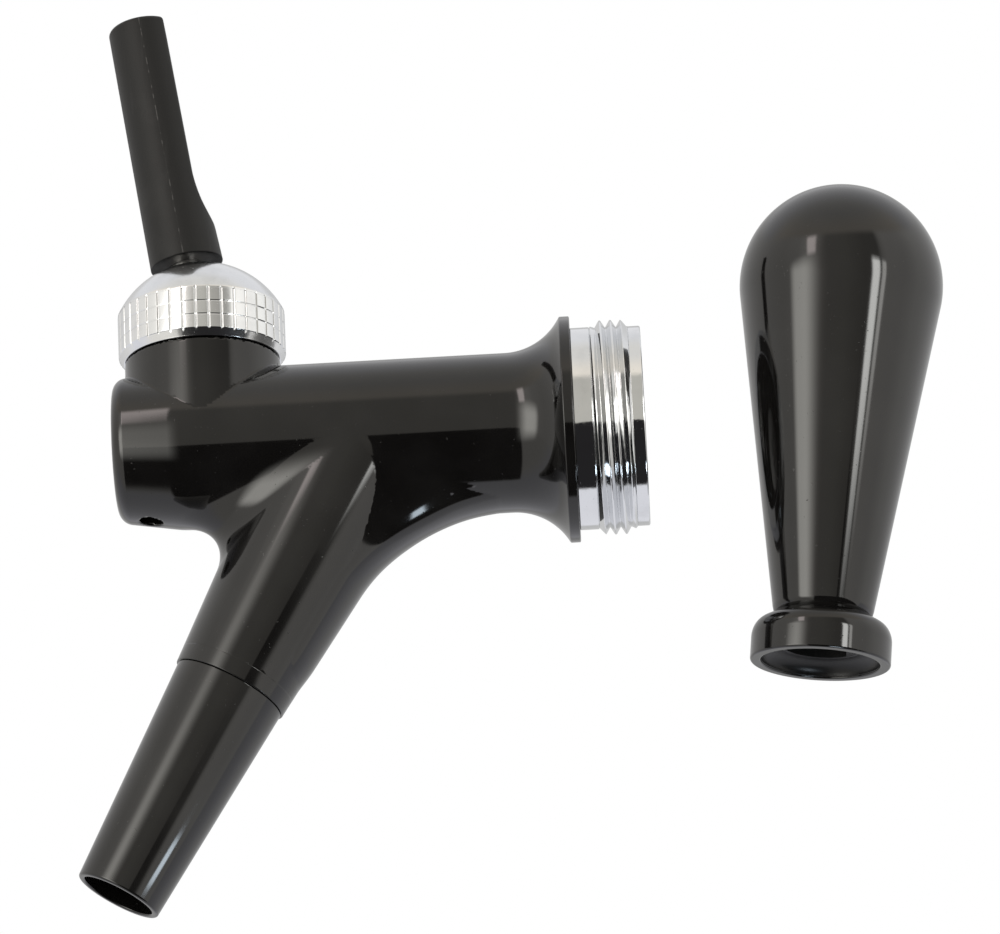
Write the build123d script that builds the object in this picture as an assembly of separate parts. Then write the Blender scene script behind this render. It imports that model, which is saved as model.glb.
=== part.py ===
from build123d import *
from math import asin, atan2, cos, pi, radians, sin, sqrt
import os

# Beer dispensing tap with a ball-joint lever, a pull-off nozzle and its pear-shaped handle.
# Millimetres. +X runs back into the tower's shank, +Z is up, and Y = 0 is the mirror plane.
# The origin is the centre of the flange's rear face, on the shank axis.

# ---------------------------------------------------------------- clearances
PUSH_GAP = 0.05          # radial gap of pieces that are pushed together and stay
RUN_GAP = 0.05           # radial gap of the piston in its bore
SEAL_GAP = 0.07          # radial gap left at the piston's ring, which the rubber fills
MOVING_GAP = 0.3         # gap between pieces that swing or slide past each other
VALVE_GAP = 0.2          # what the soft valve washer still has to yield when shut

# ---------------------------------------------------------------- coupling collar
COLLAR_LENGTH = 11.45
COLLAR_BORE_D = 26.0
NEAR_LAND_D = 33.0
NEAR_LAND_LENGTH = 3.1
END_LAND_D = 32.6
END_LAND_LENGTH = 2.05
THREAD_MAJOR_D = 35.0
THREAD_PITCH = 1.75
THREAD_DEPTH = 1.15
THREAD_CREST_WIDTH = 0.25
THREAD_ROOT_WIDTH = 0.12
THREAD_SINK = 0.2        # how deep the ridge's foot lies inside the ring
THREAD_TRIM_GAP = 0.1    # the run-out cut passes this far outside crest and root
SPIGOT_D = 28.6
SPIGOT_LENGTH = 3.5
SPIGOT_BORE_D = 26.6     # relief inside the spigot, behind the fitted bore
COLLAR_EDGE = 0.35

# ---------------------------------------------------------------- body: flange and barrel
FLANGE_D = 36.95
FLANGE_THICKNESS = 1.65
FLARE_RADIUS = 10.5
BARREL_D = 26.1
BODY_LENGTH = 75.0
NOSE_LENGTH = 9.5
NOSE_END_D = 23.5
NOSE_RISE = 0.4
NOSE_EDGE = 1.7
VENT_D = 3.8
VENT_FROM_FRONT = 5.4

# ---------------------------------------------------------------- body: turret
TURRET_FROM_FRONT = 14.57
TURRET_D = 25.5
TURRET_NECK_D = 24.1
TURRET_SHOULDER_Z = 14.85
TURRET_TOP_Z = 21.6
TURRET_WELL_D = 19.2
TURRET_WELL_FLOOR_Z = 8.9
FINGER_WELL_D = 11.0

# ---------------------------------------------------------------- body: elbow and spout
SPOUT_LEAN = 29.28       # degrees from vertical
BEND_RADIUS = 40.84
BEND_START = 10.68       # distance of the bend's start in front of the origin
BEND_D = (26.1, 25.88, 25.56, 24.04, 22.88)
BEND_LEAD = 3.0          # straight run inside the barrel, ahead of the bend
BEND_SINK = 0.15         # how far that run lies under the barrel's skin
SPOUT_LENGTH = 23.49     # from the end of the bend to the nozzle's seam
SEAM_D = 19.2
CHANNEL_D = 10.4
TAIL_D = 14.8            # tail of the body that the nozzle is pushed on to
TAIL_LENGTH = 8.0
TAIL_RING_OFFSET = 4.6

# ---------------------------------------------------------------- nozzle
NOZZLE_LENGTH = 38.7
NOZZLE_TOP_D = 18.6
NOZZLE_TIP_D = 14.3
NOZZLE_OUTLET_D = 12.06
NOZZLE_OUTLET_LENGTH = 9.0
NOZZLE_SOCKET_LENGTH = 8.6
NOZZLE_TIP_EDGE = 0.45
NOZZLE_STEP_DEPTH = 1.0
NOZZLE_STEP_RUN = 3.0
NOZZLE_RING_SECTION_D = 1.3

# ---------------------------------------------------------------- valve
PISTON_BORE_D = 16.0
FRONT_WALL = 2.0
PISTON_BORE_END = 31.0   # distance of the bore's rear end from the origin
WEB_HOLE_D = 13.0
SEAT_SHOULDER = 21.0     # distance of the seat's shoulder from the origin
CHAMBER_D = 19.2
SHANK_SEAL_THICKNESS = 2.0
SHANK_SEAL_D = 24.0
SHANK_SEAL_HOLE_D = 17.5
SEAT_GASKET_THICKNESS = 0.8
SEAT_THICKNESS = 3.2
SEAT_HOLE_D = 11.2
SEAT_LIP_D = 12.8
SEAT_LIP_HEIGHT = 0.4
WASHER_D = 15.4
WASHER_THICKNESS = 2.8
CUP_THICKNESS = 1.2
CUP_D = 14.0
SHAFT_D = 5.0
SHAFT_STUB_D = 3.0
STUB_PROUD = 0.7
LOCKNUT_ACROSS_FLATS = 5.5
LOCKNUT_THICKNESS = 2.2
PISTON_FRONT_GAP = 0.6   # left in front of the piston when the valve is shut
PISTON_REAR = 45.6       # distance of the piston's rear face from the origin
PISTON_RING_OFFSET = 2.1
PISTON_RING_SECTION_D = 1.7
PISTON_EDGE = 0.5
RING_GROOVE_RATIO = 1.35  # width of an O-ring's groove over the ring's section

# ---------------------------------------------------------------- lever
PIVOT_Z = 17.0
LEVER_LEAN = 8.3         # degrees forward of upright with the tap open
BALL_D = 14.4
FINGER_D = 4.4
FINGER_TIP_D = 5.8
NECK_D = 5.6
STEM_BASE_HEIGHT = 15.5  # above the pivot, along the lever
STEM_TOP_HEIGHT = 59.8
STEM_BASE_D = 11.7
STEM_TOP_D = 11.0
STEM_FLAT = 3.95         # distance of the flat from the lever's axis
SHOULDER_LOW = 21.8      # where the flat begins to cut into the round foot
SHOULDER_HIGH = 32.0     # where the flat has its full depth
CUT_CLEAR = 0.2          # how far a cutting shape stands clear of the skin that it cuts
STEM_EDGE = 0.7
CORE_DEPTH = 34.0        # how far the metal core reaches into the stem

# ---------------------------------------------------------------- bonnet
BAND_D = 27.44
BAND_LOW_Z = 16.16
BAND_HIGH_Z = 23.16
DOME_D = 30.4
DOME_CENTRE_Z = 16.75
NUT_HOLE_D = 11.6
NUT_LIP_D = 25.9
NUT_ABOVE_SHOULDER = 0.15
GASKET_THICKNESS = 1.0
NUT_WELL_D = 20.0
NUT_CEILING_Z = 26.4
KNURL_COLUMNS = 40
KNURL_ROWS = 3
KNURL_GROOVE = 0.45
LOWER_SEAT_HEIGHT = 4.3
LOWER_SEAT_HOLE_D = 9.6
UPPER_SEAL_LOW_Z = 20.4
UPPER_SEAL_HIGH_Z = 24.0
UPPER_SEAL_HOLE_D = 8.6
THRUST_RING_HOLE_D = 9.6
BALL_GAP = 0.08

# ---------------------------------------------------------------- handle, taken off and standing apart
HANDLE_PLACE = (37.38, 0.0, -42.49)
HANDLE_LEAN_BACK = 6.6   # degrees, top towards +X
HANDLE_LEAN_SIDE = 4.13  # degrees, top towards -Y
HANDLE_HEIGHT = 81.2
HEAD_D = 33.4
HEAD_CENTRE_HEIGHT = 63.67
WAIST_D = 16.4
WAIST_HEIGHT = 9.2
FERRULE_D = 22.7
FERRULE_HEIGHT = 8.0
FERRULE_SIDE = 4.9
FERRULE_SHOULDER_D = 18.6
FERRULE_MOUTH_D = 19.2
FERRULE_MOUTH_DEPTH = 2.6
INSERT_D = 14.0
INSERT_TOP = 42.0
SOCKET_TOP = 46.0
SOCKET_GAP = 0.15
WAIST_STEP = 0.3         # the grip's foot is this much slimmer than its waist
FERRULE_EDGE = 0.4
FERRULE_CROWN = 0.9      # height of the ferrule's top slope

# ---------------------------------------------------------------- worked out from the sizes above
turret_x = -(BODY_LENGTH - TURRET_FROM_FRONT)
barrel_r = BARREL_D / 2
pivot = Vector(turret_x, 0, PIVOT_Z)
lever_lean = radians(LEVER_LEAN)
lever_up = Vector(-sin(lever_lean), 0, cos(lever_lean))
spout_lean = radians(SPOUT_LEAN)
spout_down = Vector(-sin(spout_lean), 0, -cos(spout_lean))
bend_turn = pi / 2 - spout_lean
bend_end = Vector(-BEND_START - BEND_RADIUS * sin(bend_turn), 0, -BEND_RADIUS * (1 - cos(bend_turn)))
seam = bend_end + spout_down * SPOUT_LENGTH
finger_length = PIVOT_Z
stroke = 2 * finger_length * sin(lever_lean)
tip_x = turret_x + finger_length * sin(lever_lean)
nut_low_z = TURRET_SHOULDER_Z + NUT_ABOVE_SHOULDER
gasket_high_z = TURRET_TOP_Z + GASKET_THICKNESS
seat_face_x = -SEAT_SHOULDER + SEAT_GASKET_THICKNESS + SEAT_THICKNESS
washer_x = seat_face_x + SEAT_LIP_HEIGHT + VALVE_GAP + stroke
cup_x = washer_x + WASHER_THICKNESS
locknut_x = cup_x + CUP_THICKNESS
piston_front_x = -BODY_LENGTH + FRONT_WALL + PISTON_FRONT_GAP + stroke
piston_r = PISTON_BORE_D / 2 - RUN_GAP

spout_frame = Plane(origin=seam, x_dir=(0, 1, 0), z_dir=spout_down)
lever_frame = Plane(origin=pivot, x_dir=(cos(lever_lean), 0, sin(lever_lean)), z_dir=lever_up)
handle_frame = Location(HANDLE_PLACE) * Rot(HANDLE_LEAN_SIDE, HANDLE_LEAN_BACK, 0)


# ---------------------------------------------------------------- helpers
STANDING = (Align.CENTER, Align.CENTER, Align.MIN)


def along_x(points):
    """Turn an outline of (x, radius) points about the shank axis."""
    outline = Polyline(*[(x, 0, r) for x, r in points], close=True)
    return revolve(make_face(outline), Axis.X)


def turned(points):
    """Turn an outline of (radius, height) points about the Z axis."""
    outline = Polyline(*[(r, 0, z) for r, z in points], close=True)
    return revolve(make_face(outline), Axis.Z)


def tube_x(x_low, x_high, outer_d, inner_d):
    """A plain ring about the shank axis."""
    inner_r = inner_d / 2
    outer_r = outer_d / 2
    return along_x([(x_low, inner_r), (x_high, inner_r), (x_high, outer_r), (x_low, outer_r)])


def rod_x(x_low, x_high, diameter):
    """A plain rod on the shank axis."""
    return Pos((x_low + x_high) / 2, 0, 0) * Rot(0, 90, 0) * Cylinder(diameter / 2, x_high - x_low)


def rod_z(z_low, z_high, diameter):
    """A plain rod on the Z axis."""
    return Pos(0, 0, (z_low + z_high) / 2) * Cylinder(diameter / 2, z_high - z_low)


def ring_groove_floor(bore_d, section_d, gap):
    """Diameter of the floor that an O-ring of the given section stands on inside a bore."""
    return bore_d - 2 * gap - 2 * section_d


# ---------------------------------------------------------------- coupling collar
def make_threaded_collar():
    """Chrome ring with the external coupling thread; its spigot is pushed into the body."""
    thread_low = NEAR_LAND_LENGTH
    thread_high = COLLAR_LENGTH - END_LAND_LENGTH
    root_r = THREAD_MAJOR_D / 2 - THREAD_DEPTH
    bore_r = COLLAR_BORE_D / 2
    ring = along_x([
        (-SPIGOT_LENGTH, SPIGOT_BORE_D / 2),
        (0, SPIGOT_BORE_D / 2),
        (0, bore_r),
        (COLLAR_LENGTH - COLLAR_EDGE, bore_r),
        (COLLAR_LENGTH, bore_r + COLLAR_EDGE),
        (COLLAR_LENGTH, END_LAND_D / 2 - COLLAR_EDGE),
        (COLLAR_LENGTH - COLLAR_EDGE, END_LAND_D / 2),
        (thread_high, END_LAND_D / 2),
        (thread_high, root_r),
        (thread_low, root_r),
        (thread_low, NEAR_LAND_D / 2),
        (0, NEAR_LAND_D / 2),
        (0, SPIGOT_D / 2 - PUSH_GAP),
        (-SPIGOT_LENGTH, SPIGOT_D / 2 - PUSH_GAP),
    ])
    half_crest = THREAD_CREST_WIDTH / 2
    half_root = (THREAD_PITCH - THREAD_ROOT_WIDTH) / 2
    start_r = root_r - THREAD_SINK
    crest_rise = THREAD_DEPTH + THREAD_SINK
    coil = Helix(THREAD_PITCH, thread_high - thread_low + THREAD_PITCH, start_r)
    ridge = Plane(origin=(start_r, 0, 0), x_dir=(1, 0, 0), z_dir=(0, 1, 0)) * make_face(Polyline(
        (0, half_root), (THREAD_SINK, half_root), (crest_rise, half_crest),
        (crest_rise, -half_crest), (THREAD_SINK, -half_root), (0, -half_root), close=True))
    thread = sweep(ridge, path=coil, is_frenet=True)
    thread = Pos(thread_low - THREAD_PITCH / 2, 0, 0) * Rot(0, 90, 0) * thread
    trim_low_r = root_r + THREAD_TRIM_GAP
    trim_high_r = THREAD_MAJOR_D / 2 + THREAD_TRIM_GAP
    trim = along_x([
        (thread_low, (bore_r + root_r) / 2),
        (thread_high, (bore_r + root_r) / 2),
        (thread_high, trim_low_r),
        (thread_high - THREAD_DEPTH, trim_high_r),
        (thread_low + THREAD_DEPTH, trim_high_r),
        (thread_low, trim_low_r),
    ])
    return ring + (thread & trim)


# ---------------------------------------------------------------- body
def flare_outline():
    """Half outline of flange, flare and barrel as one closed face above the shank axis."""
    centre_r = barrel_r + FLARE_RADIUS
    foot_x = -FLANGE_THICKNESS - sqrt(FLARE_RADIUS ** 2 - (centre_r - FLANGE_D / 2) ** 2)
    nose_x = -(BODY_LENGTH - NOSE_LENGTH)
    turn = asin((-FLANGE_THICKNESS - foot_x) / FLARE_RADIUS) / 2
    flare_middle = (foot_x + FLARE_RADIUS * sin(turn), 0, centre_r - FLARE_RADIUS * cos(turn))
    edges = [
        Line((0, 0, 0), (0, 0, FLANGE_D / 2)),
        Line((0, 0, FLANGE_D / 2), (-FLANGE_THICKNESS, 0, FLANGE_D / 2)),
        ThreePointArc((-FLANGE_THICKNESS, 0, FLANGE_D / 2), flare_middle, (foot_x, 0, barrel_r)),
        Line((foot_x, 0, barrel_r), (nose_x, 0, barrel_r)),
        Line((nose_x, 0, barrel_r), (nose_x, 0, 0)),
        Line((nose_x, 0, 0), (0, 0, 0)),
    ]
    return make_face(edges)


def make_nose():
    """Front end of the barrel: it narrows and lifts a little towards a rounded edge."""
    nose_x = -(BODY_LENGTH - NOSE_LENGTH)
    rear = Plane(origin=(nose_x, 0, 0), x_dir=(0, 1, 0), z_dir=(-1, 0, 0)) * Circle(barrel_r)
    tip = Plane(origin=(-BODY_LENGTH, 0, NOSE_RISE), x_dir=(0, 1, 0), z_dir=(-1, 0, 0))
    nose = loft([rear, tip * Circle(NOSE_END_D / 2)])
    return fillet(nose.edges().sort_by(Axis.X)[0], NOSE_EDGE)


def make_elbow():
    """Outer skin of the branch that bends down from the barrel, narrowing as it goes."""
    lead = Plane(origin=(-BEND_START + BEND_LEAD, 0, 0), x_dir=(0, 1, 0), z_dir=(-1, 0, 0))
    sections = [lead * Circle(barrel_r - BEND_SINK)]
    steps = len(BEND_D) - 1
    for step in range(1, steps + 1):
        angle = bend_turn * step / steps
        centre = (-BEND_START - BEND_RADIUS * sin(angle), 0, -BEND_RADIUS * (1 - cos(angle)))
        heading = (-cos(angle), 0, -sin(angle))
        sections.append(Plane(origin=centre, x_dir=(0, 1, 0), z_dir=heading) * Circle(BEND_D[step] / 2))
    return loft(sections)


def make_spout():
    """Straight cone below the bend and the slimmer tail that carries the nozzle."""
    cone = Cone(BEND_D[-1] / 2, SEAM_D / 2, SPOUT_LENGTH, align=STANDING)
    tail = Cylinder(TAIL_D / 2, TAIL_LENGTH, align=STANDING)
    groove_floor_d = ring_groove_floor(TAIL_D + 2 * PUSH_GAP, NOZZLE_RING_SECTION_D, SEAL_GAP / 2)
    groove_width = NOZZLE_RING_SECTION_D * RING_GROOVE_RATIO
    groove = Cylinder(TAIL_D, groove_width) - Cylinder(groove_floor_d / 2, groove_width)
    return spout_frame * (Pos(0, 0, -SPOUT_LENGTH) * cone + tail - Pos(0, 0, TAIL_RING_OFFSET) * groove)


def make_tap_body():
    """The cast body: barrel with flange, turret, bent spout branch, and every bore in them."""
    outer = revolve(flare_outline(), Axis.X) + make_nose() + make_elbow() + make_spout()
    outer += Pos(turret_x, 0, 0) * rod_z(0, TURRET_SHOULDER_Z, TURRET_D)
    outer += Pos(turret_x, 0, 0) * rod_z(TURRET_SHOULDER_Z, TURRET_TOP_Z, TURRET_NECK_D)
    seal_x = -SPIGOT_LENGTH - SHANK_SEAL_THICKNESS
    bores = rod_x(-SPIGOT_LENGTH, SPIGOT_LENGTH, SPIGOT_D)
    bores += rod_x(seal_x, -SPIGOT_LENGTH, SHANK_SEAL_D)
    bores += rod_x(-SEAT_SHOULDER, seal_x, CHAMBER_D)
    bores += rod_x(-PISTON_BORE_END, -SEAT_SHOULDER, WEB_HOLE_D)
    bores += rod_x(-BODY_LENGTH + FRONT_WALL, -PISTON_BORE_END, PISTON_BORE_D)
    bores += Pos(turret_x, 0, 0) * rod_z(0, TURRET_WELL_FLOOR_Z, FINGER_WELL_D)
    bores += Pos(turret_x, 0, 0) * rod_z(TURRET_WELL_FLOOR_Z, TURRET_TOP_Z, TURRET_WELL_D)
    channel_top = -seam.Z / cos(spout_lean)
    channel = Cylinder(CHANNEL_D / 2, channel_top + TAIL_LENGTH, align=STANDING)
    bores += spout_frame * Pos(0, 0, -channel_top) * channel
    bores += Pos(-BODY_LENGTH + VENT_FROM_FRONT, 0, 0) * rod_z(-BARREL_D, 0, VENT_D)
    return outer - bores


# ---------------------------------------------------------------- nozzle
def make_nozzle():
    """Tapered nozzle, pushed over the body's tail; its outlet is a short plain bore."""
    socket_r = TAIL_D / 2 + PUSH_GAP
    outlet_r = NOZZLE_OUTLET_D / 2
    edge = NOZZLE_TIP_EDGE
    outlet_start = NOZZLE_LENGTH - NOZZLE_OUTLET_LENGTH
    slope = (NOZZLE_TOP_D - NOZZLE_TIP_D) / 2 / NOZZLE_LENGTH
    shell = turned([
        (socket_r, 0),
        (NOZZLE_TOP_D / 2, 0),
        (NOZZLE_TIP_D / 2 + slope * edge, NOZZLE_LENGTH - edge),
        (NOZZLE_TIP_D / 2 - edge, NOZZLE_LENGTH),
        (outlet_r, NOZZLE_LENGTH),
        (outlet_r, outlet_start),
        (TAIL_D / 2 - NOZZLE_STEP_DEPTH, NOZZLE_SOCKET_LENGTH + NOZZLE_STEP_RUN),
        (socket_r, NOZZLE_SOCKET_LENGTH),
    ])
    return spout_frame * shell


def make_nozzle_ring():
    """O-ring that grips the nozzle on the body's tail."""
    minor = NOZZLE_RING_SECTION_D / 2
    major = TAIL_D / 2 + PUSH_GAP - SEAL_GAP / 2 - minor
    return spout_frame * Pos(0, 0, TAIL_RING_OFFSET) * Torus(major, minor)


# ---------------------------------------------------------------- valve
def make_shank_seal():
    """Flat washer that the shank's end is drawn against."""
    seal_x = -SPIGOT_LENGTH - SHANK_SEAL_THICKNESS
    return tube_x(seal_x, -SPIGOT_LENGTH, SHANK_SEAL_D - 2 * PUSH_GAP, SHANK_SEAL_HOLE_D)


def make_seat_gasket():
    """Flat gasket between the valve seat and its shoulder."""
    gasket_x = -SEAT_SHOULDER
    return tube_x(gasket_x, gasket_x + SEAT_GASKET_THICKNESS, CHAMBER_D - 2 * PUSH_GAP, WEB_HOLE_D)


def make_valve_seat():
    """Seat ring with a raised lip facing the beer line."""
    foot_x = -SEAT_SHOULDER + SEAT_GASKET_THICKNESS
    return along_x([
        (foot_x, SEAT_HOLE_D / 2),
        (seat_face_x + SEAT_LIP_HEIGHT, SEAT_HOLE_D / 2),
        (seat_face_x + SEAT_LIP_HEIGHT, SEAT_LIP_D / 2),
        (seat_face_x, SEAT_LIP_D / 2 + SEAT_LIP_HEIGHT),
        (seat_face_x, CHAMBER_D / 2 - PUSH_GAP),
        (foot_x, CHAMBER_D / 2 - PUSH_GAP),
    ])


def make_piston():
    """Guide block with a slot for the lever's finger, and the shaft that carries the washer."""
    floor_d = ring_groove_floor(PISTON_BORE_D, PISTON_RING_SECTION_D, SEAL_GAP)
    groove_width = PISTON_RING_SECTION_D * RING_GROOVE_RATIO
    ring_x = -PISTON_REAR - PISTON_RING_OFFSET
    piston = along_x([
        (piston_front_x, 0),
        (piston_front_x, piston_r - PISTON_EDGE),
        (piston_front_x + PISTON_EDGE, piston_r),
        (ring_x - groove_width / 2, piston_r),
        (ring_x - groove_width / 2, floor_d / 2),
        (ring_x + groove_width / 2, floor_d / 2),
        (ring_x + groove_width / 2, piston_r),
        (-PISTON_REAR, piston_r),
        (-PISTON_REAR, SHAFT_D / 2),
        (washer_x, SHAFT_D / 2),
        (washer_x, SHAFT_STUB_D / 2),
        (locknut_x + LOCKNUT_THICKNESS + STUB_PROUD, SHAFT_STUB_D / 2),
        (locknut_x + LOCKNUT_THICKNESS + STUB_PROUD, 0),
    ])
    slot_width = FINGER_TIP_D + 2 * MOVING_GAP
    mouth_length = FINGER_D + 2 * (piston_r * sin(lever_lean) + 2 * MOVING_GAP)
    mouth_low_z = FINGER_TIP_D / 2
    slot_low_z = -FINGER_TIP_D / 2 - MOVING_GAP
    slot_height = PISTON_BORE_D / 2 - slot_low_z
    mouth_height = PISTON_BORE_D / 2 - mouth_low_z
    slot = Pos(tip_x, 0, slot_low_z + slot_height / 2) * Box(slot_width, slot_width, slot_height)
    mouth = Pos(tip_x, 0, mouth_low_z + mouth_height / 2) * Box(mouth_length, slot_width, mouth_height)
    return piston - slot - mouth


def make_piston_ring():
    """O-ring that keeps beer out of the lever's chamber."""
    minor = PISTON_RING_SECTION_D / 2
    major = PISTON_BORE_D / 2 - SEAL_GAP - minor
    return Pos(-PISTON_REAR - PISTON_RING_OFFSET, 0, 0) * Rot(0, 90, 0) * Torus(major, minor)


def make_valve_washer():
    """Soft washer that closes against the seat's lip."""
    return tube_x(washer_x, cup_x, WASHER_D, SHAFT_STUB_D + 2 * PUSH_GAP)


def make_washer_cup():
    """Stiff disc that backs the soft washer."""
    return tube_x(cup_x, locknut_x, CUP_D, SHAFT_STUB_D + 2 * PUSH_GAP)


def make_locknut():
    """Hexagon nut on the shaft's threaded end."""
    corner_r = LOCKNUT_ACROSS_FLATS / 2 / cos(pi / 6)
    blank = extrude(RegularPolygon(corner_r, 6) - Circle(SHAFT_STUB_D / 2 + PUSH_GAP), LOCKNUT_THICKNESS)
    return Pos(locknut_x, 0, 0) * Rot(0, 90, 0) * blank


# ---------------------------------------------------------------- bonnet
def dome_radius(z):
    """Radius of the bonnet's dome at height z."""
    return sqrt((DOME_D / 2) ** 2 - (z - DOME_CENTRE_Z) ** 2)


def make_bonnet_nut():
    """Domed nut with a band of square knurls; it is screwed down on the turret."""
    hole_r = NUT_HOLE_D / 2
    thread_r = TURRET_NECK_D / 2 + PUSH_GAP
    hole_z = DOME_CENTRE_Z + sqrt((DOME_D / 2) ** 2 - hole_r ** 2)
    start_r = dome_radius(BAND_HIGH_Z)
    middle = (atan2(BAND_HIGH_Z - DOME_CENTRE_Z, start_r) + atan2(hole_z - DOME_CENTRE_Z, hole_r)) / 2
    dome_middle = (DOME_D / 2 * cos(middle), 0, DOME_CENTRE_Z + DOME_D / 2 * sin(middle))
    lip_r = BAND_D / 2 - NUT_LIP_D / 2
    lip_rise = BAND_LOW_Z - nut_low_z
    lip_middle = (NUT_LIP_D / 2 + lip_r * sin(pi / 4), 0, BAND_LOW_Z - lip_rise * cos(pi / 4))
    corners = [
        (BAND_D / 2, 0, BAND_LOW_Z),
        (BAND_D / 2, 0, BAND_HIGH_Z),
        (start_r, 0, BAND_HIGH_Z),
    ]
    inside = [
        (hole_r, 0, hole_z),
        (hole_r, 0, NUT_CEILING_Z),
        (NUT_WELL_D / 2, 0, NUT_CEILING_Z),
        (NUT_WELL_D / 2, 0, gasket_high_z),
        (thread_r, 0, gasket_high_z),
        (thread_r, 0, nut_low_z),
        (NUT_LIP_D / 2, 0, nut_low_z),
    ]
    outline = [
        Polyline(*corners),
        ThreePointArc(corners[-1], dome_middle, inside[0]),
        Polyline(*inside),
        ThreePointArc(inside[-1], lip_middle, corners[0]),
    ]
    nut = Pos(turret_x, 0, 0) * revolve(make_face(outline), Axis.Z)
    cell = (BAND_HIGH_Z - BAND_LOW_Z) / KNURL_ROWS
    for row in range(1, KNURL_ROWS):
        groove_z = BAND_LOW_Z + cell * row
        nut -= Pos(turret_x, 0, 0) * turned([
            (BAND_D / 2 - KNURL_GROOVE, groove_z),
            (BAND_D / 2 + KNURL_GROOVE, groove_z - 2 * KNURL_GROOVE),
            (BAND_D / 2 + KNURL_GROOVE, groove_z + 2 * KNURL_GROOVE),
        ])
    flute = Rot(0, 0, 45) * Box(KNURL_GROOVE * sqrt(2), KNURL_GROOVE * sqrt(2), BAND_HIGH_Z - BAND_LOW_Z)
    band_middle_z = (BAND_HIGH_Z + BAND_LOW_Z) / 2
    places = PolarLocations(BAND_D / 2, KNURL_COLUMNS)
    flutes = [Pos(turret_x, 0, band_middle_z) * place * flute for place in places]
    return nut - flutes


def make_turret_gasket():
    """Flat ring between the turret's top and the nut's step."""
    ring = rod_z(TURRET_TOP_Z, gasket_high_z, TURRET_NECK_D - 2 * PUSH_GAP)
    hole = rod_z(TURRET_TOP_Z, gasket_high_z, NUT_WELL_D)
    return Pos(turret_x, 0, 0) * (ring - hole)


def ball_room():
    """The space that the lever's ball turns in."""
    return Pos(0, 0, PIVOT_Z) * Sphere(BALL_D / 2 + BALL_GAP)


def make_lower_seat():
    """Plastic cup ring that the lever's ball rests in."""
    top_z = TURRET_WELL_FLOOR_Z + LOWER_SEAT_HEIGHT
    ring = rod_z(TURRET_WELL_FLOOR_Z, top_z, TURRET_WELL_D - 2 * PUSH_GAP)
    hole = rod_z(TURRET_WELL_FLOOR_Z, top_z, LOWER_SEAT_HOLE_D)
    return Pos(turret_x, 0, 0) * (ring - hole - ball_room())


def make_upper_seal():
    """Rubber ring over the ball's shoulder."""
    ring = rod_z(UPPER_SEAL_LOW_Z, UPPER_SEAL_HIGH_Z, TURRET_WELL_D - 2 * PUSH_GAP)
    hole = rod_z(UPPER_SEAL_LOW_Z, UPPER_SEAL_HIGH_Z, UPPER_SEAL_HOLE_D)
    return Pos(turret_x, 0, 0) * (ring - hole - ball_room())


def make_thrust_ring():
    """Hard ring that passes the nut's pressure on to the rubber seal."""
    ring = rod_z(UPPER_SEAL_HIGH_Z, NUT_CEILING_Z, NUT_WELL_D - 2 * PUSH_GAP)
    hole = rod_z(UPPER_SEAL_HIGH_Z, NUT_CEILING_Z, THRUST_RING_HOLE_D)
    return Pos(turret_x, 0, 0) * (ring - hole)


# ---------------------------------------------------------------- lever
def make_lever_core():
    """Steel ball with the finger below it and the round core above it."""
    ball = Sphere(BALL_D / 2)
    finger = rod_z(-finger_length, 0, FINGER_D)
    tip = Pos(0, 0, -finger_length) * Sphere(FINGER_TIP_D / 2)
    core = rod_z(0, STEM_BASE_HEIGHT + CORE_DEPTH, NECK_D)
    return lever_frame * (ball + finger + tip + core)


def make_lever_stem():
    """Moulded stem: a round foot that turns into a D section through a sloping shoulder."""
    height = STEM_TOP_HEIGHT - STEM_BASE_HEIGHT
    stem = Pos(0, 0, STEM_BASE_HEIGHT) * Cone(STEM_BASE_D / 2, STEM_TOP_D / 2, height, align=STANDING)
    out_r = STEM_BASE_D / 2 + CUT_CLEAR
    cut_top = STEM_TOP_HEIGHT + CUT_CLEAR
    cut_outline = [
        TangentArc((STEM_FLAT, 0, SHOULDER_HIGH), (out_r, 0, SHOULDER_LOW), tangent=(0, 0, -1)),
        Polyline((STEM_FLAT, 0, SHOULDER_HIGH), (STEM_FLAT, 0, cut_top), (out_r, 0, cut_top),
                 (out_r, 0, SHOULDER_LOW)),
    ]
    flat_cut = extrude(make_face(cut_outline), STEM_BASE_D, both=True)
    stem -= flat_cut
    stem = chamfer(stem.faces().sort_by(Axis.Z)[-1].edges(), STEM_EDGE)
    stem = fillet(stem.faces().sort_by(Axis.Z)[0].edges(), STEM_EDGE)
    core_hole = rod_z(0, STEM_BASE_HEIGHT + CORE_DEPTH, NECK_D + 2 * PUSH_GAP)
    return lever_frame * (stem - core_hole)


# ---------------------------------------------------------------- handle
def stem_section(growth):
    """The stem's D section, grown outwards by a gap."""
    round_part = Circle(STEM_BASE_D / 2 + growth)
    reach = STEM_BASE_D
    flat_x = STEM_FLAT + growth
    return round_part - Pos(flat_x + reach / 2, 0) * Rectangle(reach, 2 * reach)


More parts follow.
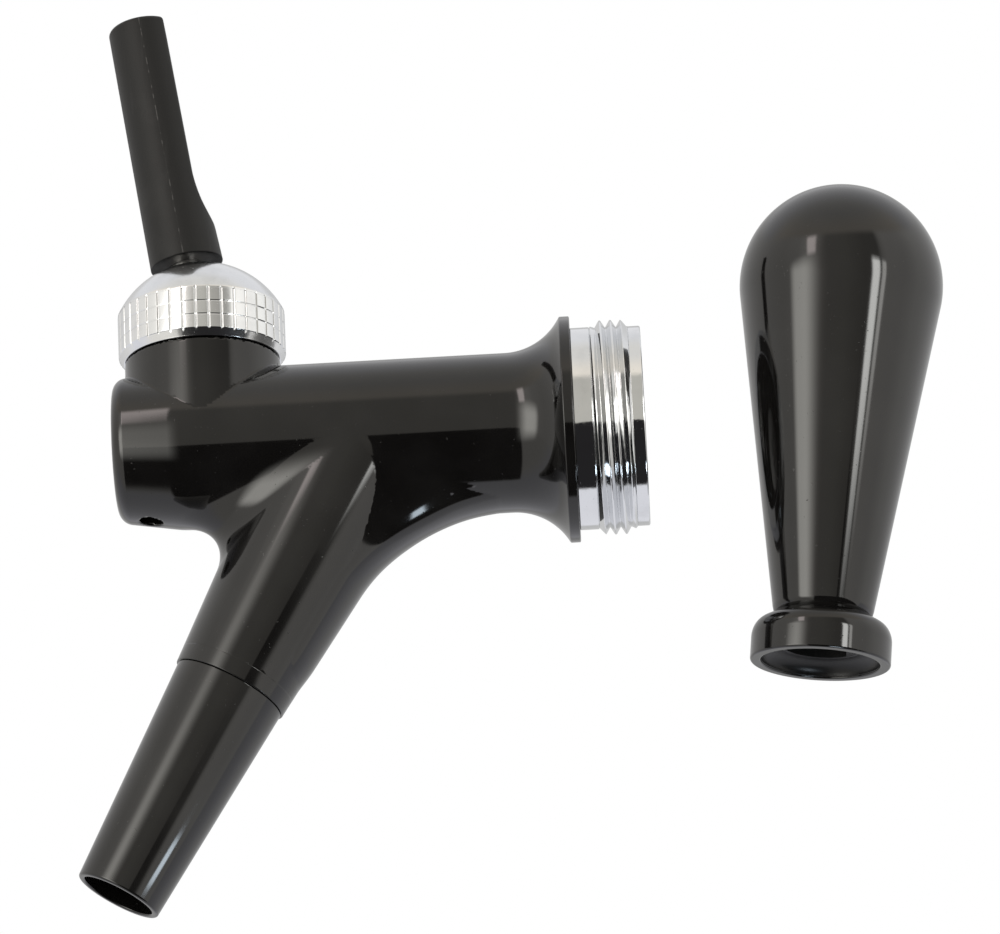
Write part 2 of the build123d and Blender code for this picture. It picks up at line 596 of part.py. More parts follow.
def make_handle_shell():
    """Pear-shaped grip: a long cone that runs smoothly into a rounded head."""
    head_r = HEAD_D / 2
    run = HEAD_CENTRE_HEIGHT - WAIST_HEIGHT
    reach = sqrt(run ** 2 + (WAIST_D / 2) ** 2)
    slope = asin(head_r / reach) - atan2(WAIST_D / 2, run)
    touch = (head_r * cos(slope), 0, HEAD_CENTRE_HEIGHT - head_r * sin(slope))
    crown = HANDLE_HEIGHT - HEAD_CENTRE_HEIGHT
    bore_r = INSERT_D / 2 + PUSH_GAP
    foot_r = WAIST_D / 2 - WAIST_STEP
    cheek = (head_r, 0, HEAD_CENTRE_HEIGHT)
    cheek_low = (head_r * cos(slope / 2), 0, HEAD_CENTRE_HEIGHT - head_r * sin(slope / 2))
    crown_middle = (head_r * cos(pi / 4), 0, HEAD_CENTRE_HEIGHT + crown * sin(pi / 4))
    crown_curve = Spline(cheek, crown_middle, (0, 0, HANDLE_HEIGHT), tangents=[(0, 0, 1), (-1, 0, 0)])
    outline = [
        Line((bore_r, 0, FERRULE_HEIGHT), (foot_r, 0, FERRULE_HEIGHT)),
        Line((foot_r, 0, FERRULE_HEIGHT), (WAIST_D / 2, 0, WAIST_HEIGHT)),
        Line((WAIST_D / 2, 0, WAIST_HEIGHT), touch),
        ThreePointArc(touch, cheek_low, cheek),
        crown_curve,
        Polyline((0, 0, HANDLE_HEIGHT), (0, 0, SOCKET_TOP), (bore_r, 0, SOCKET_TOP),
                 (bore_r, 0, FERRULE_HEIGHT)),
    ]
    return handle_frame * revolve(make_face(outline), Axis.Z)


def make_handle_ferrule():
    """Base ring of the handle, with a dished mouth."""
    hole_r = INSERT_D / 2 + PUSH_GAP
    side_r = FERRULE_D / 2
    shoulder_r = FERRULE_SHOULDER_D / 2
    foot_r = WAIST_D / 2 - WAIST_STEP
    shoulder_z = FERRULE_HEIGHT - FERRULE_CROWN
    bulge = (shoulder_r + (side_r - shoulder_r) * sin(pi / 4), 0,
             FERRULE_SIDE + (shoulder_z - FERRULE_SIDE) * sin(pi / 4))
    outline = [
        Polyline((hole_r, 0, FERRULE_MOUTH_DEPTH), (FERRULE_MOUTH_D / 2, 0, FERRULE_MOUTH_DEPTH),
                 (FERRULE_MOUTH_D / 2, 0, 0), (side_r - FERRULE_EDGE, 0, 0), (side_r, 0, FERRULE_EDGE),
                 (side_r, 0, FERRULE_SIDE)),
        ThreePointArc((side_r, 0, FERRULE_SIDE), bulge, (shoulder_r, 0, shoulder_z)),
        Polyline((shoulder_r, 0, shoulder_z), (foot_r, 0, FERRULE_HEIGHT - FERRULE_EDGE),
                 (foot_r, 0, FERRULE_HEIGHT), (hole_r, 0, FERRULE_HEIGHT), (hole_r, 0, FERRULE_MOUTH_DEPTH)),
    ]
    return handle_frame * revolve(make_face(outline), Axis.Z)


def make_handle_insert():
    """Socket bush inside the handle; its D hole slides over the lever's stem."""
    height = INSERT_TOP - FERRULE_MOUTH_DEPTH
    bush = extrude(Circle(INSERT_D / 2) - stem_section(SOCKET_GAP), height)
    return handle_frame * Pos(0, 0, FERRULE_MOUTH_DEPTH) * bush


PIECES = {
    "tap_body": make_tap_body,
    "threaded_collar": make_threaded_collar,
    "shank_seal": make_shank_seal,
    "valve_seat": make_valve_seat,
    "seat_gasket": make_seat_gasket,
    "piston": make_piston,
    "piston_o_ring": make_piston_ring,
    "valve_washer": make_valve_washer,
    "washer_cup": make_washer_cup,
    "washer_locknut": make_locknut,
    "bonnet_nut": make_bonnet_nut,
    "turret_gasket": make_turret_gasket,
    "ball_lower_seat": make_lower_seat,
    "ball_upper_seal": make_upper_seal,
    "bonnet_thrust_ring": make_thrust_ring,
    "lever_core": make_lever_core,
    "lever_stem": make_lever_stem,
    "nozzle": make_nozzle,
    "nozzle_o_ring": make_nozzle_ring,
    "handle_shell": make_handle_shell,
    "handle_ferrule": make_handle_ferrule,
    "handle_insert": make_handle_insert,
}

os.makedirs("parts", exist_ok=True)
for name, make in PIECES.items():
    piece = make()
    piece.label = name
    export_step(piece, f"parts/{name}.step")

print(f"lever_tilt range {2 * LEVER_LEAN:.2f} deg, stroke {stroke:.3f} mm, "
      f"ratio {-stroke / (2 * lever_lean):.3f} mm/rad")
print("pivot", pivot, "seam", seam, "spout_down", spout_down)
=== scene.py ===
import logging
from dataclasses import dataclass, field
from enum import Enum
from math import asin, atan2, cos, degrees, pi, radians, sin, sqrt
from typing import Callable, Sequence

import bmesh
import bpy
import numpy as np
from bpy.types import Material, Object
from mathutils import Matrix, Vector


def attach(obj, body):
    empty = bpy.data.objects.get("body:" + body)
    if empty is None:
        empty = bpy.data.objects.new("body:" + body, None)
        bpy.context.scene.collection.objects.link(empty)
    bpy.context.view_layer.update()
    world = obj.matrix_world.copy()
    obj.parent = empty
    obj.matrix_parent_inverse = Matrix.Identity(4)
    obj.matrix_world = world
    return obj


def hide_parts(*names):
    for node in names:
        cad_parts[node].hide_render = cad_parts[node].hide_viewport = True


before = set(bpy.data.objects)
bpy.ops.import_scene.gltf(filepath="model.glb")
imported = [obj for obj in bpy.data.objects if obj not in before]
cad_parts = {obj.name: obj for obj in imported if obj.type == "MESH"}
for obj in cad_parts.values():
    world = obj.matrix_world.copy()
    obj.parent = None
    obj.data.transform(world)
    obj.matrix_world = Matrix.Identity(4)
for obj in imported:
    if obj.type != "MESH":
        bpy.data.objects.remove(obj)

# Dressed model of a beer tap: glossy black body with a turret and a bent spout, chrome coupling
# collar and knurled nut, matt lever, pull-off nozzle, and the pear-shaped handle standing apart.
# Sizes in the classes are millimetres; meshes are written in metres.

MM = 0.001
TINY = 1e-6
LEVER_PIVOT = (-60.43, 0.0, 17.0)
LEVER_LEAN = 8.3
LEVER_FOOT = 15.5
LOG = logging.getLogger("beer_tap")
Pair = tuple[float, float]
Triple = tuple[float, float, float]
Array = np.ndarray
Spots = tuple[Array, Array, Array]


class Body(Enum):
    """The bodies that the dressed pieces ride on."""
    TAP = "tap"
    LEVER = "lever"
    NOZZLE = "nozzle"
    HANDLE = "handle"


# ---------------------------------------------------------------- sockets and materials
class Signal:
    """A node socket that can be used in arithmetic; each expression adds its Math nodes."""

    def __init__(self, graph: "Graph", socket: bpy.types.NodeSocket | None) -> None:
        """Wrap an output socket of the given graph."""
        self.graph = graph
        self.socket = socket

    def _math(self, operation: str, *others: "Signal | float") -> "Signal":
        """Add one Math node with this signal as its first input."""
        values = {index: value for index, value in enumerate((self, *others))}
        return self.graph.node("ShaderNodeMath", {"operation": operation}, values)

    def __add__(self, other: "Signal | float") -> "Signal":
        """Sum."""
        return self._math("ADD", other)

    __radd__ = __add__

    def __mul__(self, other: "Signal | float") -> "Signal":
        """Product."""
        return self._math("MULTIPLY", other)

    __rmul__ = __mul__

    def __sub__(self, other: "Signal | float") -> "Signal":
        """Difference."""
        return self._math("SUBTRACT", other)

    def __rsub__(self, other: float) -> "Signal":
        """A number minus this signal."""
        return self * -1.0 + other

    def call(self, operation: str, *others: "Signal | float") -> "Signal":
        """Any other operation of the Math node, such as SINE or MAXIMUM."""
        return self._math(operation, *others)

    def output(self, name: str) -> "Signal":
        """Another output of the same node."""
        return Signal(self.graph, self.socket.node.outputs[name])

    def step(self, low: float, high: float) -> "Signal":
        """Smooth step from 0 at low to 1 at high."""
        ends = {"Value": self, "From Min": low, "From Max": high}
        return self.graph.node("ShaderNodeMapRange", {"interpolation_type": "SMOOTHSTEP"}, ends)


class Graph:
    """A node tree that is written through one method."""

    def __init__(self, tree: bpy.types.NodeTree) -> None:
        """Start from an empty tree."""
        self.tree = tree
        tree.nodes.clear()

    def node(self, kind: str, settings: dict | None = None, values: dict | None = None,
             output: str | int = 0) -> Signal:
        """Add a node.

        Args:
            kind: The node's type.
            settings: Its properties, set first; "stops" fills a colour ramp.
            values: Values or signals for its sockets, by name or index.
            output: Which output the returned signal reads.

        Returns:
            The chosen output as a signal.
        """
        made = self.tree.nodes.new(kind)
        for key, setting in (settings or {}).items():
            if key == "stops":
                ramp = made.color_ramp
                while len(ramp.elements) < len(setting):
                    ramp.elements.new(0.5)
                for element, (position, colour) in zip(ramp.elements, setting):
                    element.position = position
                    element.color = (*colour, 1.0)
            else:
                setattr(made, key, setting)
        for key, value in (values or {}).items():
            if isinstance(value, Signal):
                self.tree.links.new(value.socket, made.inputs[key])
            else:
                made.inputs[key].default_value = value
        return Signal(self, made.outputs[output] if len(made.outputs) else None)

    def point(self) -> Signal:
        """Object coordinates, in metres."""
        return self.node("ShaderNodeTexCoord", output="Object")

    def noise(self, scale: float, detail: float = 2.0, stretch: Sequence[float] = (1, 1, 1)) -> Signal:
        """Noise in object space.

        Args:
            scale: Cells per metre.
            detail: Octaves.
            stretch: Extra scale along each axis.

        Returns:
            The noise's factor, around 0.5.
        """
        place = self.node("ShaderNodeMapping", {}, {"Vector": self.point(), "Scale": tuple(stretch)})
        return self.node("ShaderNodeTexNoise", {}, {"Vector": place, "Scale": scale, "Detail": detail})

    def tool_lines(self, axis: int, across: float, along: float, detail: float) -> Signal:
        """Fine lines round an axis, as a turning tool leaves them.

        Args:
            axis: Index of the axis that the piece was turned about.
            across: Cells per metre round the piece.
            along: Cells per metre along the axis.
            detail: Octaves.

        Returns:
            The lines' factor, around 0.5.
        """
        stretch = [across] * 3
        stretch[axis] = along
        return self.noise(1.0, detail, stretch)

    def mix_colour(self, factor: Signal, low: "Sequence[float] | Signal",
                   high: "Sequence[float] | Signal") -> Signal:
        """Colour between low and high."""
        ends = [end if isinstance(end, Signal) else (*end, 1.0) for end in (low, high)]
        return self.node("ShaderNodeMix", {"data_type": "RGBA"}, {0: factor, 6: ends[0], 7: ends[1]}, 2)

    def bump(self, height: Signal, strength: float, distance: float) -> Signal:
        """Normal of a surface with the given height, whose full range is distance in metres."""
        return self.node("ShaderNodeBump", {}, {"Height": height, "Strength": strength, "Distance": distance})


@dataclass(frozen=True)
class Finish:
    """A named finish; each kind says what its Principled shader is given."""
    name: str

    def sockets(self, graph: Graph) -> dict:
        """Values and signals for the shader's sockets."""
        raise NotImplementedError

    def make(self) -> Material:
        """Build the material.

        Returns:
            The material, with the Principled shader on its output.
        """
        material = bpy.data.materials.new(self.name)
        material.use_nodes = True
        graph = Graph(material.node_tree)
        shader = graph.node("ShaderNodeBsdfPrincipled", {}, self.sockets(graph))
        graph.node("ShaderNodeOutputMaterial", {}, {"Surface": shader})
        return material


@dataclass(frozen=True)
class GlossPlastic(Finish):
    """Polished black moulded plastic: faint mould waves, hairline polishing marks and dust specks."""
    colour: Triple
    roughness: float = 0.075
    waves: float = 0.00002
    wave_scale: float = 60.0

    def sockets(self, graph: Graph) -> dict:
        """Values and signals for the shader's sockets.

        Args:
            graph: Node graph of the material.

        Returns:
            Socket values and signals by name.
        """
        cloud = graph.noise(90.0, 3.0)
        specks = graph.noise(2600.0, 0.0).step(0.80, 0.86)
        grain = graph.noise(700.0, 2.0, (1.0, 1.0, 0.12))
        pale = tuple(min(1.0, part * 1.9 + 0.004) for part in self.colour)
        height = graph.noise(self.wave_scale, 1.0) + grain * 0.02 + specks * 0.08
        return {
            "Base Color": graph.mix_colour(cloud.step(0.35, 0.75) * 0.5 + specks, self.colour, pale),
            "Roughness": cloud * 0.03 + specks * 0.3 + grain * 0.02 + (self.roughness - 0.025),
            "Normal": graph.bump(height, 1.0, self.waves),
        }


@dataclass(frozen=True)
class MattPlastic(Finish):
    """Spark-eroded moulded plastic: fine grain, dull sheen and slightly rubbed patches."""
    colour: Triple
    worn: Triple
    roughness: float = 0.5
    grain: float = 0.00003
    shine: float = 0.25

    def sockets(self, graph: Graph) -> dict:
        """Values and signals for the shader's sockets.

        Args:
            graph: Node graph of the material.

        Returns:
            Socket values and signals by name.
        """
        fine = graph.noise(5200.0, 3.0)
        rubbed = graph.noise(140.0, 4.0).step(0.5, 0.75)
        scratches = graph.noise(900.0, 2.0, (1.0, 1.0, 0.06)).step(0.62, 0.7)
        plain = graph.mix_colour(rubbed * 0.6 + scratches * 0.4, self.colour, self.worn)
        return {
            "Base Color": self.tint(graph, plain),
            "Roughness": fine * 0.16 - rubbed * 0.05 + (self.roughness - 0.08),
            "Specular IOR Level": self.shine,
            "Normal": graph.bump(fine + scratches * 0.2, 0.7, self.grain),
        }

    def tint(self, graph: Graph, colour: Signal) -> Signal:
        """Leave the plain colour as it is; kinds with marks of their own change it."""
        return colour


@dataclass(frozen=True)
class StemPlastic(MattPlastic):
    """Matt plastic of the lever's stem, with a broken pale parting line and painted shade darkening the
    underside of the foot.
    """
    parting_half: float = 0.07
    parting_colour: Triple = (0.085, 0.082, 0.078)
    foot_shade_low: float = 0.03
    foot_shade_high: float = 0.35
    foot_shade_colour: Triple = (0.0012, 0.0012, 0.0012)

    def tint(self, graph: Graph, colour: Signal) -> Signal:
        """Draw the parting line and paint shade onto the foot's underside.

        Args:
            graph: Node graph of the material.
            colour: Plain colour of the plastic.

        Returns:
            The colour with both marks on it.
        """
        lean = radians(LEVER_LEAN)
        place = graph.node("ShaderNodeSeparateXYZ", {}, {0: graph.point()})
        x, z = place - LEVER_PIVOT[0] * MM, place.output("Z") - LEVER_PIVOT[2] * MM
        across = (x * cos(lean) + z * sin(lean)).call("ABSOLUTE")
        height = z * cos(lean) - x * sin(lean)
        line = 1.0 - across.step(self.parting_half * 0.5 * MM, self.parting_half * 1.5 * MM)
        broken = graph.noise(700.0, 3.0).step(0.48, 0.6) * 0.7 + 0.05
        # painted shade: below a height just above the foot, the colour goes near black where the foot's
        # underside and lower edge lie in shadow
        foot = 1.0 - height.step((LEVER_FOOT + self.foot_shade_low) * MM, (LEVER_FOOT + self.foot_shade_high) * MM)
        marked = graph.mix_colour(line * broken, colour, self.parting_colour)
        return graph.mix_colour(foot, marked, self.foot_shade_colour)


@dataclass(frozen=True)
class Chrome(Finish):
    """Chrome plate over machined brass, with faint orange peel, haze and pits."""
    colour: Triple = (0.70, 0.71, 0.72)
    roughness: float = 0.06
    peel: float = 0.00001
    peel_scale: float = 900.0

    def sockets(self, graph: Graph) -> dict:
        """Values and signals for the shader's sockets.

        Args:
            graph: Node graph of the material.

        Returns:
            Socket values and signals by name.
        """
        peel = graph.noise(self.peel_scale, 2.0)
        haze = graph.noise(220.0, 4.0)
        pits = graph.noise(3000.0, 0.0).step(0.79, 0.84)
        dull = tuple(part * 0.82 for part in self.colour)
        return {
            "Base Color": graph.mix_colour(haze.step(0.45, 0.8) * 0.6 + pits * 0.6, self.colour, dull),
            "Metallic": 1.0,
            "Roughness": haze * 0.08 + pits * 0.2 + (self.roughness - 0.03),
            "Normal": graph.bump(peel, 1.0, self.peel),
        }


@dataclass(frozen=True)
class Rubber(Finish):
    """Black nitrile rubber with a dusty, slightly mottled skin."""
    clean: Triple = (0.014, 0.014, 0.014)
    dusty: Triple = (0.05, 0.048, 0.045)

    def sockets(self, graph: Graph) -> dict:
        """Values and signals for the shader's sockets.

        Args:
            graph: Node graph of the material.

        Returns:
            Socket values and signals by name.
        """
        dust = graph.noise(420.0, 4.0)
        fine = graph.noise(4000.0, 2.0)
        return {
            "Base Color": graph.mix_colour(dust.step(0.4, 0.8), self.clean, self.dusty),
            "Roughness": dust * 0.2 + 0.55,
            "Normal": graph.bump(fine, 0.6, 0.00004),
        }


@dataclass(frozen=True)
class Acetal(Finish):
    """Natural off-white acetal, turned, with fine tool lines across the axis."""
    axis: int
    shaded: Triple = (0.70, 0.68, 0.61)
    clear: Triple = (0.80, 0.79, 0.73)

    def sockets(self, graph: Graph) -> dict:
        """Values and signals for the shader's sockets.

        Args:
            graph: Node graph of the material.

        Returns:
            Socket values and signals by name.
        """
        lines = graph.tool_lines(self.axis, 40.0, 3000.0, 2.0)
        cloud = graph.noise(160.0, 3.0)
        return {
            "Base Color": graph.mix_colour(cloud, self.shaded, self.clear),
            "Roughness": lines * 0.15 + 0.28,
            "Subsurface Weight": 0.08,
            "Normal": graph.bump(lines, 0.5, 0.00003),
        }


@dataclass(frozen=True)
class TurnedSteel(Finish):
    """Stainless steel with turning lines and light handling marks."""
    axis: int
    handled: Triple = (0.52, 0.51, 0.50)
    bright: Triple = (0.66, 0.655, 0.64)

    def sockets(self, graph: Graph) -> dict:
        """Values and signals for the shader's sockets.

        Args:
            graph: Node graph of the material.

        Returns:
            Socket values and signals by name.
        """
        lines = graph.tool_lines(self.axis, 30.0, 4000.0, 3.0)
        smear = graph.noise(180.0, 4.0)
        return {
            "Base Color": graph.mix_colour(smear, self.handled, self.bright),
            "Metallic": 1.0,
            "Roughness": lines * 0.2 + smear * 0.1 + 0.15,
            "Normal": graph.bump(lines, 0.5, 0.00002),
        }


@dataclass(frozen=True)
class FloorPaint(Finish):
    """Pale, dull and slightly mottled paint of the studio's floor."""
    shaded: Triple = (0.86, 0.86, 0.855)
    clear: Triple = (0.90, 0.90, 0.895)

    def sockets(self, graph: Graph) -> dict:
        """Values and signals for the shader's sockets."""
        mottle = graph.noise(6.0, 3.0)
        return {"Base Color": graph.mix_colour(mottle, self.shaded, self.clear), "Roughness": 0.9}


# ---------------------------------------------------------------- mesh tools
def arc(centre: Pair, radius: float | Pair, start: float, end: float, steps: int) -> list[Pair]:
    """Points on an arc or a quarter of an ellipse.

    Args:
        centre: Centre as (radius, height).
        radius: Radius, or the two half axes.
        start: First angle in degrees, 0 pointing outwards and 90 upwards.
        end: Last angle in degrees.
        steps: Number of stretches.

    Returns:
        The points, both ends included.
    """
    across, along = radius if isinstance(radius, tuple) else (radius, radius)
    angles = [radians(start + (end - start) * step / steps) for step in range(steps + 1)]
    return [(centre[0] + across * cos(angle), centre[1] + along * sin(angle)) for angle in angles]


def rounded(corners: Sequence[Triple], steps: int = 5) -> list[Pair]:
    """Round the corners of a closed outline.

    Args:
        corners: (x, y, rounding radius) in order; a radius of 0 keeps the point.
        steps: Stretches of each rounding.

    Returns:
        The outline's points.
    """
    points: list[Pair] = []
    count = len(corners)
    for index, (x, y, radius) in enumerate(corners):
        corner = np.array((x, y))
        if radius <= 0:
            points.append((x, y))
            continue
        before = np.array(corners[index - 1][:2]) - corner
        after = np.array(corners[(index + 1) % count][:2]) - corner
        before /= np.linalg.norm(before)
        after /= np.linalg.norm(after)
        half = asin(min(1.0, np.linalg.norm(before + after) / 2))
        opening = pi / 2 - half
        reach = radius / np.tan(opening)
        centre = corner + (before + after) / np.linalg.norm(before + after) * radius / sin(opening)
        first = corner + before * reach - centre
        last = corner + after * reach - centre
        turn = atan2(first[0] * last[1] - first[1] * last[0], float(first @ last))
        for step in range(steps + 1):
            angle = turn * step / steps
            across = first[0] * cos(angle) - first[1] * sin(angle)
            along = first[0] * sin(angle) + first[1] * cos(angle)
            points.append((centre[0] + across, centre[1] + along))
    return points


@dataclass
class Axis:
    """Where a turned piece stands: its origin, the direction of its axis, and where its angles start."""
    origin: Array
    along: Array
    start: Array

    def place(self, radius: Array, height: Array, angle: Array) -> Array:
        """Turn cylinder coordinates about this axis into points.

        Args:
            radius: Distances from the axis.
            height: Heights along it.
            angle: Angles round it; the three are stretched to one shape.

        Returns:
            Points in millimetres, with x, y and z in the last dimension.
        """
        radius, height, angle = (part[..., None] for part in np.broadcast_arrays(radius, height, angle))
        side = np.cross(self.along, self.start)
        radial = np.cos(angle) * self.start + np.sin(angle) * side
        return self.origin + radius * radial + height * self.along


def axis_of(origin: Sequence[float], along: Sequence[float], near: Sequence[float]) -> Axis:
    """Make an axis.

    Args:
        origin: A point on it, from which heights are counted.
        along: Its direction.
        near: Angles start on the side nearest to this direction.

    Returns:
        The axis, with directions of length one.
    """
    along_unit = np.array(along, float) / np.linalg.norm(along)
    start = np.array(near, float) - along_unit * (np.array(near, float) @ along_unit)
    return Axis(np.array(origin, float), along_unit, start / np.linalg.norm(start))


@dataclass
class Draft:
    """A mesh being put together, in millimetres."""
    points: list[Array] = field(default_factory=list)
    faces: list[tuple[int, ...]] = field(default_factory=list)
    count: int = 0

    def add_points(self, points: Array) -> Array:
        """Add points.

        Args:
            points: Points in any grid shape.

        Returns:
            Their indices, in that shape.
        """
        flat = points.reshape(-1, 3)
        self.points.append(flat)
        first = self.count
        self.count += len(flat)
        return np.arange(first, self.count).reshape(points.shape[:-1])

    def skin(self, grid: Array, wrap_rows: bool, wrap_columns: bool) -> None:
        """Cover a grid of indices with quads.

        Args:
            grid: Indices by row and column.
            wrap_rows: Join the last row to the first.
            wrap_columns: Join the last column to the first.
        """
        if wrap_rows:
            grid = np.vstack([grid, grid[:1]])
        if wrap_columns:
            grid = np.hstack([grid, grid[:, :1]])
        quads = np.stack([grid[:-1, :-1], grid[:-1, 1:], grid[1:, 1:], grid[1:, :-1]], -1).reshape(-1, 4)
        self.faces.extend(map(tuple, quads.tolist()))

    def fan(self, ring: Array, centre: Array) -> None:
        """Close a ring with triangles.

        Args:
            ring: Indices of the ring's points.
            centre: Where the triangles meet.
        """
        middle = int(self.add_points(centre[None, :])[0])
        following = np.roll(ring, -1)
        self.faces.extend((int(a), int(b), middle) for a, b in zip(ring, following))

    def build(self, name: str, material: Material, weld: float = 0.0) -> Object:
        """Make the Blender object, with faces turned outwards and area-weighted normals.

        Args:
            name: Name of the piece.
            material: Its finish.
            weld: Distance in millimetres within which points are joined, or 0.

        Returns:
            The new object.
        """
        return add_piece(name, np.vstack(self.points), self.faces, material, weld=weld)


def add_piece(name: str, points: Array, faces: Sequence[Sequence[int]], material: Material,
              normals: Array | None = None, weld: float = 0.0) -> Object:
    """Make an object and link it to the scene.

    Args:
        name: Name of the piece.
        points: Its points in millimetres.
        faces: Point indices of each face.
        material: Its finish.
        normals: Normals at the points; without them faces are turned outwards and weighted by area.
        weld: Distance in millimetres within which points are joined, or 0.

    Returns:
        The new object.
    """
    mesh = bpy.data.meshes.new(name)
    mesh.from_pydata((points * MM).tolist(), [], faces)
    if normals is None:
        tidy_mesh(mesh, weld * MM)
    shade(mesh, normals)
    mesh.materials.append(material)
    piece = bpy.data.objects.new(name, mesh)
    bpy.context.scene.collection.objects.link(piece)
    return piece


def tidy_mesh(mesh: bpy.types.Mesh, weld: float) -> None:
    """Join close points, drop flat faces and turn all faces outwards.

    Args:
        mesh: The mesh to clean.
        weld: Distance in metres within which points are joined, or 0.
    """
    work = bmesh.new()
    work.from_mesh(mesh)
    if weld > 0:
        bmesh.ops.remove_doubles(work, verts=work.verts, dist=weld)
        bmesh.ops.dissolve_degenerate(work, edges=work.edges, dist=weld)
    bmesh.ops.recalc_face_normals(work, faces=work.faces)
    work.to_mesh(mesh)
    work.free()


def shade(mesh: bpy.types.Mesh, normals: Array | None = None) -> None:
    """Shade a mesh smooth.

    Args:
        mesh: The mesh to shade.
        normals: Normals at its points, or None for normals weighted by the faces' areas.
    """
    mesh.shade_smooth()
    if normals is None:
        count = len(mesh.polygons)
        area = np.empty(count)
        direction = np.empty(count * 3)
        mesh.polygons.foreach_get("area", area)
        mesh.polygons.foreach_get("normal", direction)
        loops = np.empty(len(mesh.loops), int)
        totals = np.empty(count, int)
        mesh.loops.foreach_get("vertex_index", loops)
        mesh.polygons.foreach_get("loop_total", totals)
        weighted = np.repeat(direction.reshape(-1, 3) * area[:, None], totals, axis=0)
        normals = np.zeros((len(mesh.vertices), 3))
        np.add.at(normals, loops, weighted)
        normals /= np.maximum(np.linalg.norm(normals, axis=1, keepdims=True), 1e-20)
    mesh.normals_split_custom_set_from_vertices(normals.tolist())


def turned(name: str, axis: Axis, outline: Sequence[Pair], material: Material,
           segments: int = 160) -> Object:
    """Turn a closed outline about an axis.

    Args:
        name: Name of the piece.
        axis: The axis.
        outline: (radius, height) points; points at radius 0 become the piece's poles.
        material: Its finish.
        segments: Steps around.

    Returns:
        The piece.
    """
    draft = Draft()
    angles = np.linspace(0, 2 * pi, segments, endpoint=False)
    poles = [index for index, (radius, _) in enumerate(outline) if radius < TINY]
    first = poles[0] if poles else 0
    shape = [point for point in (*outline[first:], *outline[:first]) if point[0] >= TINY]
    radius, height = np.array(shape).T[..., None]
    grid = draft.add_points(axis.place(radius, height, angles))
    draft.skin(grid, wrap_rows=not poles, wrap_columns=True)
    if poles:
        for ring, pole in ((grid[0], poles[-1]), (grid[-1], poles[0])):
            draft.fan(ring, axis.origin + axis.along * outline[pole][1])
    return draft.build(name, material)


# ---------------------------------------------------------------- fields for the cast body
def fillet_union(first: Array, second: Array, cosine: Array, radius: float | Array) -> Array:
    """Join two fields with a fillet whose section is an arc at any angle between the skins.

    Args:
        first: Distance to the first skin.
        second: Distance to the second skin.
        cosine: Cosine of the angle between the two skins' normals.
        radius: The fillet's radius, which may change from place to place.

    Returns:
        Distance to the joined skin.
    """
    half = np.sqrt(np.clip((1 + cosine) / 2, 0, 1))
    reach = radius * (1 - half) / (1 - sqrt(0.5)) + 1e-4
    near = np.hypot(np.maximum(reach - first, 0), np.maximum(reach - second, 0))
    return np.maximum(reach, np.minimum(first, second)) - near


def round_cut(first: Array, second: Array, radius: float) -> Array:
    """Keep what lies inside both fields, with the outer edge rounded."""
    over = np.hypot(np.maximum(radius + first, 0), np.maximum(radius + second, 0))
    return np.minimum(-radius, np.maximum(first, second)) + over


